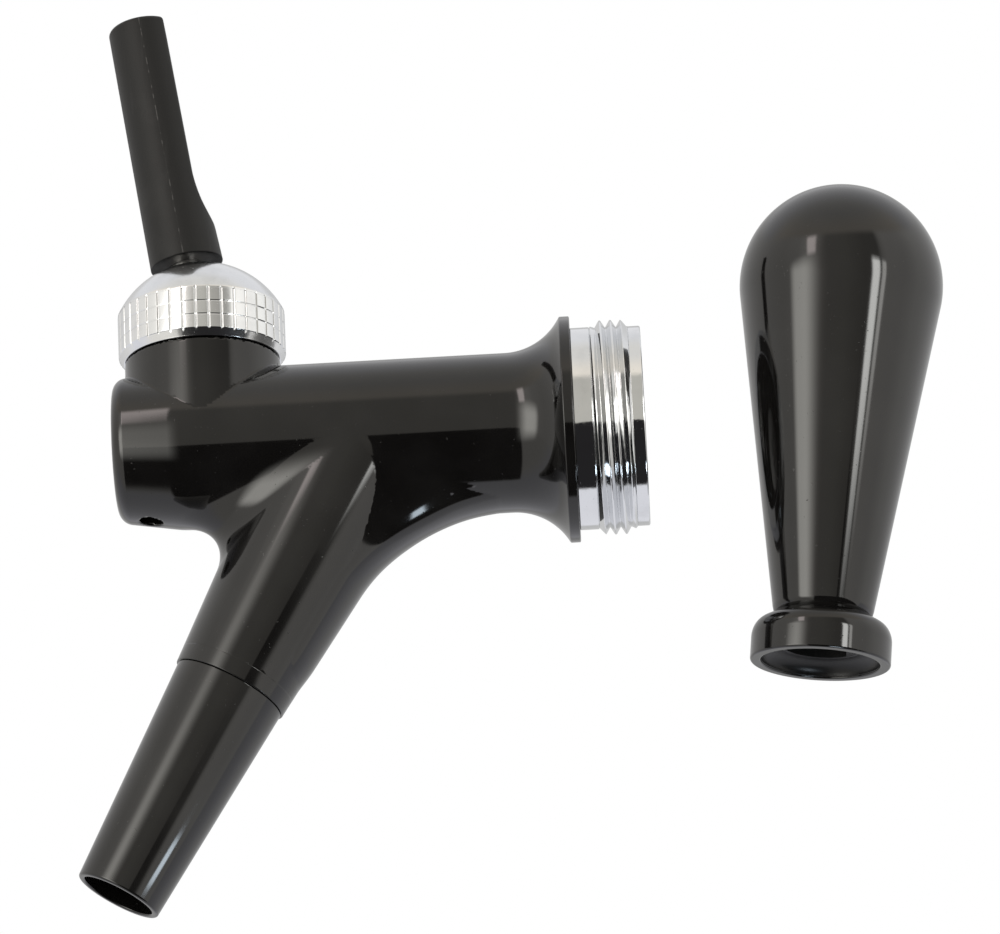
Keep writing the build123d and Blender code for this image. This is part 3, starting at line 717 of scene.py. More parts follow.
def surface_net(field_at: Callable[[Spots], Array], low: Sequence[float], high: Sequence[float],
                cell: float) -> tuple[Array, Array, Array]:
    """Mesh the zero surface of a field.

    Args:
        field_at: The field as a function of the places.
        low: Lowest corner of the grid.
        high: Highest corner of the grid.
        cell: Size of a grid cell.

    Returns:
        Points on the surface, quads wound outwards, and the surface normals at the points.
    """
    axes = [np.arange(start, end + cell, cell) for start, end in zip(low, high)]
    values = field_at(tuple(np.meshgrid(*axes, indexing="ij")))
    inside = values < 0
    shape = tuple(size - 1 for size in values.shape)

    def corner(data: Array, offset: Sequence[int]) -> Array:
        """The grid's values at one corner of every cell."""
        i, j, k = offset
        return data[i:i + shape[0], j:j + shape[1], k:k + shape[2]]

    offsets = [(i, j, k) for i in (0, 1) for j in (0, 1) for k in (0, 1)]
    total = sum(corner(inside, offset).astype(np.int8) for offset in offsets)
    mixed = (total > 0) & (total < 8)
    index = np.full(shape, -1)
    index[mixed] = np.arange(mixed.sum())
    cells = np.argwhere(mixed)
    summed = np.zeros((len(cells), 3))
    hits = np.zeros(len(cells))
    for start in offsets:
        for direction in range(3):
            if start[direction]:
                continue
            end = list(start)
            end[direction] = 1
            here = corner(values, start)[mixed]
            there = corner(values, end)[mixed]
            crossed = (here < 0) != (there < 0)
            share = np.where(crossed, here / np.where(crossed, here - there, 1), 0)
            spot = np.array(start, float) + np.eye(3)[direction] * share[:, None]
            summed += np.where(crossed[:, None], spot, 0)
            hits += crossed
    points = np.array(low) + (cells + summed / hits[:, None]) * cell
    quads = []
    for direction in range(3):
        side, other = (direction + 1) % 3, (direction + 2) % 3
        turned_values = np.moveaxis(inside, (direction, side, other), (0, 1, 2))
        turned_index = np.moveaxis(index, (direction, side, other), (0, 1, 2))
        change = turned_values[:-1, 1:-1, 1:-1].astype(np.int8) - turned_values[1:, 1:-1, 1:-1]
        i, j, k = np.nonzero(change)
        around = np.stack([turned_index[i, j, k], turned_index[i, j + 1, k],
                           turned_index[i, j + 1, k + 1], turned_index[i, j, k + 1]], -1)
        leaving = change[i, j, k] > 0
        quads.append(np.where(leaving[:, None], around, around[:, ::-1]))
    faces = np.vstack(quads)

    def slope(spots: Array, reach: float) -> Array:
        """Gradient of the field by central differences.

        Args:
            spots: Where it is wanted.
            reach: Half the distance between the two readings.

        Returns:
            The gradient at each spot.
        """
        parts = []
        for direction in range(3):
            shift = np.eye(3)[direction] * reach
            ahead = field_at(tuple((spots + shift).T))
            behind = field_at(tuple((spots - shift).T))
            parts.append((ahead - behind) / (2 * reach))
        return np.stack(parts, -1)

    for _ in range(4):
        gradient = slope(points, cell / 20)
        scale = field_at(tuple(points.T)) / np.maximum((gradient ** 2).sum(1), 0.05)
        points = points - np.clip(gradient * scale[:, None], -cell / 2, cell / 2)
    normals = slope(points, cell / 20)
    normals /= np.maximum(np.linalg.norm(normals, axis=1, keepdims=True), 1e-9)
    return points, faces, normals


def eased(part: Array) -> Array:
    """Clip to the range from 0 to 1 and smooth both ends."""
    part = np.clip(part, 0, 1)
    return part ** 2 * (3 - 2 * part)


def smooth_table(value: Array, stations: Array, heights: Array) -> Array:
    """Read a smooth curve through a few stations.

    Args:
        value: Where the curve is read.
        stations: Evenly spaced places of the known heights.
        heights: The curve's height at each station.

    Returns:
        The curve's height at each value.
    """
    step = stations[1] - stations[0]
    slopes = np.gradient(heights, step)
    place = np.clip((value - stations[0]) / step, 0, len(stations) - 1 - 1e-9)
    index = place.astype(int)
    part = place - index
    rise = heights[index + 1] - heights[index]
    first, last = slopes[index] * step, slopes[index + 1] * step
    cubic = part * first + part ** 2 * (3 * rise - 2 * first - last) + part ** 3 * (first + last - 2 * rise)
    return heights[index] + cubic


# ---------------------------------------------------------------- finishes of this tap
class Finishes:
    """All finishes, made once."""

    def __init__(self) -> None:
        """Build every material."""
        black = (0.0035, 0.0032, 0.0030)
        self.body = GlossPlastic("body_gloss_black", black).make()
        self.nozzle = GlossPlastic("nozzle_gloss_black", black, waves=0.00003).make()
        self.handle = GlossPlastic("handle_gloss_black", black).make()
        self.ferrule = GlossPlastic("ferrule_gloss_black", black, wave_scale=120.0).make()
        self.chrome = Chrome("chrome_bright").make()
        self.nut_chrome = Chrome("chrome_nut", roughness=0.15).make()
        self.lever = StemPlastic("lever_matt_black", (0.0095, 0.0092, 0.0088),
                                 (0.017, 0.0165, 0.016)).make()
        self.insert = MattPlastic("insert_matt_black", (0.008, 0.008, 0.008), (0.02, 0.02, 0.02)).make()
        self.dish = MattPlastic("dish_satin_black", (0.004, 0.004, 0.0045), (0.008, 0.008, 0.008),
                                roughness=0.34, grain=0.00001, shine=0.3).make()
        self.rubber = Rubber("seal_rubber_black").make()
        self.acetal_x = Acetal("acetal_turned_lengthwise", 0).make()
        self.acetal_z = Acetal("acetal_turned_upright", 2).make()
        self.steel_x = TurnedSteel("steel_turned_lengthwise", 0).make()
        self.steel_z = TurnedSteel("steel_turned_upright", 2).make()


def settle(piece: Object, body: Body, slot: str, *nodes: str) -> None:
    """Tell the frame about a piece.

    Args:
        piece: The piece.
        body: The body that it rides on.
        slot: Its finish slot; not used.
        *nodes: Names of the nodes that it stands for.
    """
    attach(piece, body.value)
    if nodes:
        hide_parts(*nodes)
    LOG.info("%s: %d faces, rides on %s", piece.name, len(piece.data.polygons), body.value)


def dress_node(name: str, material: Material) -> None:
    """Give a kept solid its finish.

    Args:
        name: Name of its node.
        material: Its finish.
    """
    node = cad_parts[name]
    node.data.materials.clear()
    node.data.materials.append(material)
    LOG.info("%s: kept, %s", name, material.name)


# ---------------------------------------------------------------- spout geometry shared by body and nozzle
@dataclass
class SpoutLine:
    """The bend and the straight run of the spout, in the plane of the shank axis."""
    lean: float = 29.28
    bend_radius: float = 40.84
    bend_start: float = 10.68
    bend_d: tuple[float, ...] = (26.1, 25.88, 25.56, 24.04, 22.88)
    length: float = 23.49
    seam_d: float = 19.2

    def __post_init__(self) -> None:
        """Work out the spout's direction and taper, the bend's end and the seam."""
        lean = radians(self.lean)
        self.down = np.array((-sin(lean), 0.0, -cos(lean)))
        self.turn = pi / 2 - lean
        self.bend_end = np.array((-self.bend_start - self.bend_radius * sin(self.turn), 0.0,
                                  -self.bend_radius * (1 - cos(self.turn))))
        self.seam = self.bend_end + self.down * self.length
        self.slope = (self.bend_d[-1] - self.seam_d) / 2 / self.length

    def run(self, x: Array, z: Array) -> Array:
        """How far down the straight run a point lies, counted from the bend's end."""
        return (x - self.bend_end[0]) * self.down[0] + (z - self.bend_end[2]) * self.down[2]

    def axis(self) -> Axis:
        """Axis of the spout, from the seam towards its mouth."""
        return axis_of(self.seam, self.down, (0, 1, 0))


# ---------------------------------------------------------------- body
@dataclass
class TapBody:
    """The cast body: barrel, nose, turret and spout in one skin, with the flange and the tail turned.

    Of the pairs, web_late says at how many degrees round the bend the web slims and over how many, web_end
    does so in millimetres down the straight run, and groove holds the two ends of the O-ring's groove.
    """
    finishes: Finishes
    spout: SpoutLine
    barrel_r: float = 13.05
    length: float = 75.0
    nose_length: float = 10.6
    nose_blend: float = 1.3
    nose_end_r: float = 11.75
    nose_rise: float = 0.4
    nose_edge: float = 2.0
    vent_r: float = 1.9
    vent_from_front: float = 5.4
    turret_from_front: float = 14.57
    turret_r: float = 12.75
    neck_r: float = 12.05
    shoulder_z: float = 14.85
    turret_top_z: float = 21.6
    flange_r: float = 18.468
    flange_thickness: float = 1.65
    flare_radius: float = 10.5
    crotch_fillet: float = 5.4
    web_fillet: float = 4.0
    web_crease: float = 0.5
    spout_swell: float = 2.2
    web_sunk: float = 0.10
    web_shift: float = 0.45
    web_slimmer: float = 0.17
    web_tilt: float = 27.0
    web_flanks: tuple[float, ...] = (11.5, 11.0, 10.6, 11.15, 12.0)
    web_start: float = 9.0
    web_late: Pair = (28.0, 18.0)
    web_end: Pair = (14.0, 6.0)
    web_end_sunk: float = 0.05
    web_edge: float = 2.5
    web_depth: float = 3.0
    union_blend: float = 4.0
    turret_fillet: float = 0.5
    turret_edge: float = 0.25
    bore_edge: float = 0.3
    chamber_r: float = 9.6
    chamber_end: float = -21.0
    passage_r: float = 6.5
    passage_end: float = -31.0
    piston_r: float = 8.0
    front_wall: float = 2.0
    stem_well_r: float = 5.5
    ball_well_r: float = 9.6
    ball_well_z: float = 8.9
    channel_r: float = 5.2
    collar_seat_r: float = 14.3
    collar_seat_depth: float = 3.5
    seal_seat_r: float = 12.0
    seal_seat_depth: float = 5.5
    tail_r: float = 7.4
    tail_length: float = 8.0
    groove_r: float = 6.12
    groove: Pair = (3.72, 5.48)
    skin_start: float = -11.4
    skin_end: float = -2.0
    overlap: float = 0.8
    sunk: float = 0.03
    below_seam: float = 4.0
    cell: float = 0.45

    @property
    def turret_x(self) -> float:
        """Where the turret's axis crosses the barrel's."""
        return self.turret_from_front - self.length

    def barrel(self, at: Spots) -> tuple[Array, Array]:
        """Field of the barrel with its nose.

        Args:
            at: Lengthwise places, places across and heights of the points.

        Returns:
            Distance to the skin, and height above the barrel's own centre line.
        """
        x, y, z = at
        ahead = self.nose_length - self.length - x
        bend = np.clip(ahead + self.nose_blend, 0, 2 * self.nose_blend)
        past = np.maximum(ahead - self.nose_blend, 0)
        along = (bend ** 2 / (4 * self.nose_blend) + past) / self.nose_length
        lifted = z - self.nose_rise * along
        radius = self.barrel_r + (self.nose_end_r - self.barrel_r) * along
        radius = radius - self.sunk * np.clip((x - self.skin_start + self.overlap) / self.overlap, 0, 1)
        side = np.hypot(y, lifted) - radius
        return round_cut(side, -self.length - x, self.nose_edge), lifted

    def straight_spout(self, at: Spots) -> tuple[Array, Array]:
        """Field of the straight tapered spout, which runs on up into the barrel.

        Args:
            at: Lengthwise places, places across and heights of the points.

        Returns:
            Distance to the skin, and the skin's normals.
        """
        x, y, z = at
        line = self.spout
        run = line.run(x, z)
        above = np.maximum(-run, 0)
        swell = self.spout_swell * (1 - np.exp(-above * line.slope / self.spout_swell))
        radius = line.bend_d[-1] / 2 + swell - line.slope * np.maximum(run, 0)
        end = run - line.length - self.skin_end
        radius = radius - self.sunk * np.clip(end / self.overlap + 1, 0, 1)
        off_x = x - line.bend_end[0] - run * line.down[0]
        off_z = z - line.bend_end[2] - run * line.down[2]
        off = np.stack([off_x, y, off_z])
        reach = np.maximum(np.sqrt((off ** 2).sum(0)), TINY)
        top = line.bend_end[2] / line.down[2]
        return np.maximum.reduce([reach - radius, end, -run - top]), off / reach

    def web(self, at: Spots) -> tuple[Array, Array]:
        """Field of the web that carries the barrel's underside round into the spout.

        Args:
            at: Lengthwise places, places across and heights of the points.

        Returns:
            Distance to the skin, and the skin's normals.
        """
        x, y, z = at
        line = self.spout
        angle = np.clip(np.arctan2(-x - line.bend_start, z + line.bend_radius), 0, line.turn)
        bend_r = np.array(line.bend_d) / 2
        stations = np.linspace(0, line.turn, len(bend_r))
        start = eased(1 - np.degrees(angle) / self.web_start)
        late = eased((np.degrees(angle) - self.web_late[0]) / self.web_late[1])
        run = np.where(angle >= line.turn - 1e-9, np.maximum(line.run(x, z), 0), 0)
        fade = eased((run - self.web_end[0]) / self.web_end[1])
        radius = smooth_table(angle, stations, bend_r) - self.web_sunk * start
        radius = radius - self.web_slimmer * late - line.slope * run
        radius = radius - (self.web_shift - self.web_slimmer + self.web_end_sunk) * fade
        sine, cosine = np.sin(angle), np.cos(angle)
        middle = line.bend_radius - self.web_shift * late
        off_x = x + line.bend_start + middle * sine - run * line.down[0]
        off_z = z + line.bend_radius - middle * cosine - run * line.down[2]
        inward = off_x * sine - off_z * cosine
        off = np.stack([off_x, y, off_z])
        reach = np.maximum(np.sqrt((off ** 2).sum(0)), TINY)
        tilt = radians(self.web_tilt)
        flank = np.abs(y) * cos(tilt) + inward * sin(tilt)
        flank = flank - smooth_table(angle, stations, np.array(self.web_flanks)) + line.slope * run
        tube = reach - radius
        flank_way = np.stack([sine * sin(tilt), np.sign(y) * cos(tilt), -cosine * sin(tilt)])
        way = np.where(flank > tube, flank_way, off / reach)
        web = np.maximum(round_cut(tube, flank, self.web_edge), -inward - self.web_depth)
        return np.maximum(web, run - line.length - self.skin_end), way

    def outside(self, at: Spots) -> Array:
        """Field of the outer skin.

        Args:
            at: Lengthwise places, places across and heights of the points.

        Returns:
            Distance to it.
        """
        x, y, z = at
        barrel, lifted = self.barrel(at)
        barrel_way = np.stack([np.zeros_like(y), y, lifted]) / np.maximum(np.hypot(y, lifted), TINY)
        spout, spout_way = self.straight_spout(at)
        web, web_way = self.web(at)
        skin = fillet_union(barrel, spout, (barrel_way * spout_way).sum(0), self.crotch_fillet)
        share = np.clip(0.5 + (barrel - spout) / self.union_blend, 0, 1)
        cosine = (web_way * (barrel_way * (1 - share) + spout_way * share)).sum(0)
        fillet = self.web_fillet + (self.web_crease - self.web_fillet) * share
        skin = fillet_union(skin, web, np.clip(cosine, -1, 1), fillet)
        from_axis = np.maximum(np.hypot(x - self.turret_x, y), TINY)
        turret = round_cut(from_axis - self.turret_r, z - self.shoulder_z, self.turret_edge)
        neck = round_cut(from_axis - self.neck_r, z - self.turret_top_z, self.turret_edge)
        turret = np.maximum(np.minimum(turret, neck), -z)
        skin = fillet_union(skin, turret, y * barrel_way[1] / from_axis, self.turret_fillet)
        return np.maximum(skin, x - self.skin_start)

    def hollow(self, at: Spots) -> Array:
        """Field of the bores: chamber, passage, piston bore, wells, channel and vent.

        Args:
            at: Lengthwise places, places across and heights of the points.

        Returns:
            Distance to the nearest bore.
        """
        x, y, z = at
        from_shank = np.hypot(y, z)
        from_turret = np.hypot(x - self.turret_x, y)
        line = self.spout
        off_x, off_z = x - line.seam[0], z - line.seam[2]
        run = off_x * line.down[0] + off_z * line.down[2]
        from_spout = np.sqrt(np.maximum(off_x ** 2 + y ** 2 + off_z ** 2 - run ** 2, 0))
        channel_top = -line.seam[2] / cos(radians(line.lean))
        piston_end = self.front_wall - self.length
        bores = [
            np.maximum(from_shank - self.chamber_r, self.chamber_end - x),
            np.maximum(from_shank - self.passage_r, self.passage_end - x),
            np.maximum.reduce([from_shank - self.piston_r, x - self.passage_end, piston_end - x]),
            np.maximum(from_turret - self.stem_well_r, -z),
            np.maximum(from_turret - self.ball_well_r, self.ball_well_z - z),
            np.maximum(from_spout - self.channel_r, -channel_top - run),
            np.maximum(np.hypot(x + self.length - self.vent_from_front, y) - self.vent_r, z),
        ]
        return np.minimum.reduce(bores)

    def field(self, at: Spots) -> Array:
        """Distance to the whole casting."""
        return round_cut(self.outside(at), -self.hollow(at), self.bore_edge)

    def make_casting(self) -> Object:
        """Mesh barrel, nose, turret and spout as one smooth skin.

        Returns:
            The piece.
        """
        room, side = 2 * self.cell, self.barrel_r + 3 * self.cell
        low = (-self.length - room, -side, self.spout.seam[2] - self.below_seam)
        high = (self.skin_start + room, side, self.turret_top_z + room)
        points, faces, normals = surface_net(self.field, low, high, self.cell)
        return add_piece("tap_casting", points, faces.tolist(), self.finishes.body, normals)

    def make_flange(self) -> Object:
        """Turn the flange with its flare and the seats of collar and shank seal.

        Returns:
            The piece.
        """
        centre_r = self.barrel_r + self.flare_radius
        rise = asin((centre_r - self.flange_r) / self.flare_radius)
        foot_x = -self.flange_thickness - self.flare_radius * cos(rise)
        edge_x = foot_x + self.flare_radius * cos(rise)
        flare = arc((centre_r, foot_x), self.flare_radius, 90 + degrees(rise), 180, 40)
        outline = [(self.collar_seat_r, 0.0)]
        outline += rounded([(self.collar_seat_r, 0, 0), (self.flange_r, 0, 0.22),
                            (self.flange_r, edge_x, 0.3), (*flare[1], 0)])[1:-1]
        start = self.skin_start - self.overlap
        outline += flare[1:]
        outline += [(self.barrel_r, start + 0.15), (self.barrel_r - 0.1, start), (self.chamber_r, start),
                    (self.chamber_r, -self.seal_seat_depth), (self.seal_seat_r, -self.seal_seat_depth),
                    (self.seal_seat_r, -self.collar_seat_depth),
                    (self.collar_seat_r, -self.collar_seat_depth)]
        axis = axis_of((0, 0, 0), (1, 0, 0), (0, 0, 1))
        return turned("tap_flange", axis, outline, self.finishes.body, 220)

    def make_tail(self) -> Object:
        """Turn the spout's end with the grooved tail that carries the nozzle.

        Returns:
            The piece.
        """
        line = self.spout
        start = self.skin_end - self.overlap
        skin = [(line.seam_d / 2 - line.slope * (start + step), start + step, 0) for step in (0.1, 0.2, 1.2)]
        low, high = self.groove
        outline = rounded([
            (line.seam_d / 2 - line.slope * start - 0.1, start, 0), *skin, (line.seam_d / 2, 0, 0.14),
            (self.tail_r, 0, 0), (self.tail_r, low, 0.1), (self.groove_r, low, 0.1),
            (self.groove_r, high, 0.1), (self.tail_r, high, 0.1), (self.tail_r, self.tail_length, 0.4),
            (self.channel_r, self.tail_length, 0.3), (self.channel_r, start, 0)])
        return turned("spout_tail", line.axis(), outline, self.finishes.body, 180)

    def build(self) -> None:
        """Make the body's pieces and put them on the tap."""
        for piece in (self.make_casting(), self.make_flange(), self.make_tail()):
            settle(piece, Body.TAP, "body_black", "tap_body")


# ---------------------------------------------------------------- coupling collar
@dataclass
class CouplingCollar:
    """Chrome collar: two plain lands with a coupling thread between them."""
    finishes: Finishes
    length: float = 11.45
    bore_r: float = 13.0
    spigot_bore_r: float = 13.3
    spigot_r: float = 14.25
    spigot_length: float = 3.5
    near_land_r: float = 16.5
    near_land_length: float = 3.1
    end_land_r: float = 16.3
    end_land_length: float = 2.05
    major_r: float = 17.5
    pitch: float = 1.75
    depth: float = 1.15
    crest: float = 0.25
    root: float = 0.12
    soft: float = 0.06
    relief_r: float = 16.0
    edge: float = 0.3
    segments: int = 240

    def thread_row(self, turn: float) -> list[Pair]:
        """Outline of the thread at one angle.

        Args:
            turn: The angle as a share of a full turn.

        Returns:
            (radius, height) points from the near land to the end land.
        """
        low, high = self.near_land_length, self.length - self.end_land_length
        root_r = self.major_r - self.depth
        flank = (self.pitch - self.crest - self.root) / 2
        crest_end = flank + self.crest
        edge_share = 1.0 - self.soft / flank
        profile = [(0.0, 0.0), (flank - self.soft, edge_share), (flank + self.soft, 1.0),
                   (crest_end - self.soft, 1.0), (crest_end + self.soft, edge_share),
                   (flank + crest_end, 0.0), (self.pitch - self.root / 2, -0.02)]
        points = [(root_r, low)]
        turns = int((high - low) / self.pitch) + 3
        for count in range(-1, turns):
            for offset, share in profile:
                height = low + (count + turn) * self.pitch + offset
                inside = min(max(height, low), high)
                run_out = min((inside - low) / self.depth, (high - inside) / self.depth, 1.0)
                rise = min(share, max(run_out, 0.0)) if 0 < inside - low else 0.0
                points.append((root_r + self.depth * rise, inside))
        points.append((root_r, high))
        return points

    def make(self) -> Object:
        """Mesh the collar with its helical thread.

        Returns:
            The piece.
        """
        axis = axis_of((0, 0, 0), (1, 0, 0), (0, 0, -1))
        end_land = self.length - self.end_land_length
        near = rounded([(self.spigot_r, 0, 0), (self.near_land_r, 0, 0.15),
                        (self.near_land_r, self.near_land_length, 0.12),
                        (self.relief_r, self.near_land_length, 0)], 4)[:-1]
        end = rounded([(self.relief_r, end_land, 0), (self.end_land_r, end_land, 0.1),
                       (self.end_land_r, self.length, self.edge), (self.bore_r, self.length, self.edge),
                       (self.bore_r, 0, 0)], 4)[1:-1]
        end += [(self.bore_r, 0.0), (self.spigot_bore_r, 0.0), (self.spigot_bore_r, -self.spigot_length),
                (self.spigot_r, -self.spigot_length)]
        turns = [step / self.segments for step in range(self.segments + 1)]
        shape = np.array([near + self.thread_row(turn) + end for turn in turns])
        draft = Draft()
        grid = draft.add_points(axis.place(shape[:, :, 0], shape[:, :, 1], 2 * pi * np.array(turns)[:, None]))
        draft.skin(grid, wrap_rows=False, wrap_columns=True)
        return draft.build("coupling_collar", self.finishes.chrome, weld=0.002)

    def build(self) -> None:
        """Make the collar and put it on the tap."""
        settle(self.make(), Body.TAP, "chrome", "threaded_collar")


# ---------------------------------------------------------------- bonnet nut
@dataclass
class BonnetNut:
    """Domed chrome nut with a knurled band and a bevelled lower lip."""
    finishes: Finishes
    axis_x: float = LEVER_PIVOT[0]
    band_r: float = 13.72
    band_low: float = 16.16
    band_high: float = 23.16
    dome_r: float = 15.2
    dome_centre: float = 16.75
    hole_r: float = 5.8
    lip_r: float = 12.95
    low_z: float = 15.0
    well_r: float = 10.0
    thread_r: float = 12.1
    ceiling_z: float = 26.4
    step_z: float = 22.6
    columns: int = 40
    rows: int = 3
    groove: float = 0.24
    groove_half: float = 0.23
    column_soft: float = 0.04
    row_groove: float = 0.16
    row_half: float = 0.15
    row_soft: float = 0.04
    crown: float = -0.05
    crown_rise: float = 0.02
    chamfer: float = 0.12
    hem: float = 0.03
    band_edge: float = 0.10
    lip_edge: Pair = (0.15, 0.04)
    dome_gap: Pair = (0.8, 1.6)
    dome_steps: int = 28
    hole_edge: Pair = (0.05, 0.25)

    def column_offsets(self) -> list[Pair]:
        """Outline of one knurl column.

        Returns:
            Angles as shares of the column, each with the share of the groove's depth there.
        """
        pitch = 2 * pi * self.band_r / self.columns
        half, soft = self.groove_half / pitch, self.column_soft / pitch
        rising = [(half * 0.5, 0.5), (half - soft, 0.10), (half + soft, 0.0)]
        falling = [(1 - share, depth) for share, depth in reversed(rising)]
        return [(0.0, 1.0), *rising, (0.3, 0.0), (0.5, 0.0), (0.7, 0.0), *falling]

    def row_stations(self) -> list[Pair]:
        """Outline up the band.

        Returns:
            Heights, each with the share of a row groove's depth there; below 0 the row is crowned.
        """
        cell = (self.band_high - self.band_low) / self.rows
        outer, inner = self.row_half + self.row_soft, self.row_half - self.row_soft
        stations = [(self.band_low + self.band_edge, 0.0)]
        for row in range(1, self.rows):
            middle = self.band_low + row * cell
            stations += [(middle - cell / 2, self.crown), (middle - outer, 0.0), (middle - inner, 0.14),
                         (middle, 1.0), (middle + inner, 0.14), (middle + outer, 0.0)]
        return stations + [(self.band_high - cell / 2, self.crown), (self.band_high - self.band_edge, 0.0)]

    def band_rows(self, grooves: Array) -> list[tuple[Array, float]]:
        """Knurled rows of the band.

        Args:
            grooves: Depth of the column grooves at each angle.

        Returns:
            Radii round the nut and the height of each row, upwards.
        """
        rows = [(self.band_r - self.chamfer, self.band_low, 0.0),
                (self.band_r - self.hem, self.band_low + self.hem, 0.0)]
        rows += [(self.band_r, height, depth) for height, depth in self.row_stations()]
        rows += [(self.band_r - self.hem, self.band_high - self.hem, 0.0),
                 (self.band_r - self.band_edge, self.band_high, 0.0)]
        cut_rows = []
        for radius, height, depth in rows:
            cut = np.maximum(max(depth, 0.0) * self.row_groove, grooves)
            cut_rows.append((radius - cut - min(depth, 0.0) * self.crown_rise, height))
        return cut_rows

    def make(self) -> Object:
        """Mesh the whole nut; grooves cut the band, the rest is turned.

        Returns:
            The piece.
        """
        axis = axis_of((self.axis_x, 0, 0), (0, 0, 1), (0, -1, 0))
        offsets = self.column_offsets()
        angles = np.array([2 * pi * (column + share) / self.columns
                           for column in range(self.columns) for share, _ in offsets])
        grooves = np.tile([depth for _, depth in offsets], self.columns) * self.groove
        bevel_r, bevel_z = self.band_r - self.chamfer - self.lip_r, self.band_low - self.low_z - self.chamfer
        lip = [(self.lip_r - self.lip_edge[0], self.low_z),
               (self.lip_r - self.hem, self.low_z + self.lip_edge[1])]
        lip += [(self.lip_r + bevel_r * share, self.low_z + self.chamfer + bevel_z * share)
                for share in (0.0, 0.04, 0.5, 0.95)]
        start_z = self.band_high - self.dome_centre
        start_r = sqrt(self.dome_r ** 2 - start_z ** 2)
        hole_z = sqrt(self.dome_r ** 2 - self.hole_r ** 2)
        first, last = degrees(atan2(start_z, start_r)), degrees(atan2(hole_z, self.hole_r))
        dome = arc((0, self.dome_centre), self.dome_r, first + self.dome_gap[0], last - self.dome_gap[1],
                   self.dome_steps)
        hole_top = self.dome_centre + hole_z - self.hole_edge[0]
        inside = rounded([(*dome[-1], 0), (self.hole_r, hole_top, self.hole_edge[1]),
                          (self.hole_r, self.ceiling_z, 0), (self.well_r, self.ceiling_z, 0),
                          (self.well_r, self.step_z, 0), (self.thread_r, self.step_z, 0),
                          (self.thread_r, self.low_z, 0.1), (*lip[0], 0)])[1:-1]
        rings = [*lip, *self.band_rows(grooves), *dome, *inside]
        radius = np.array([ring[0] * np.ones(len(angles)) for ring in rings])
        height = np.array([ring[1] for ring in rings])[:, None]
        draft = Draft()
        draft.skin(draft.add_points(axis.place(radius, height, angles)), wrap_rows=True, wrap_columns=True)
        return draft.build("knurled_nut", self.finishes.nut_chrome)

    def build(self) -> None:
        """Make the nut and put it on the tap."""
        settle(self.make(), Body.TAP, "chrome", "bonnet_nut")


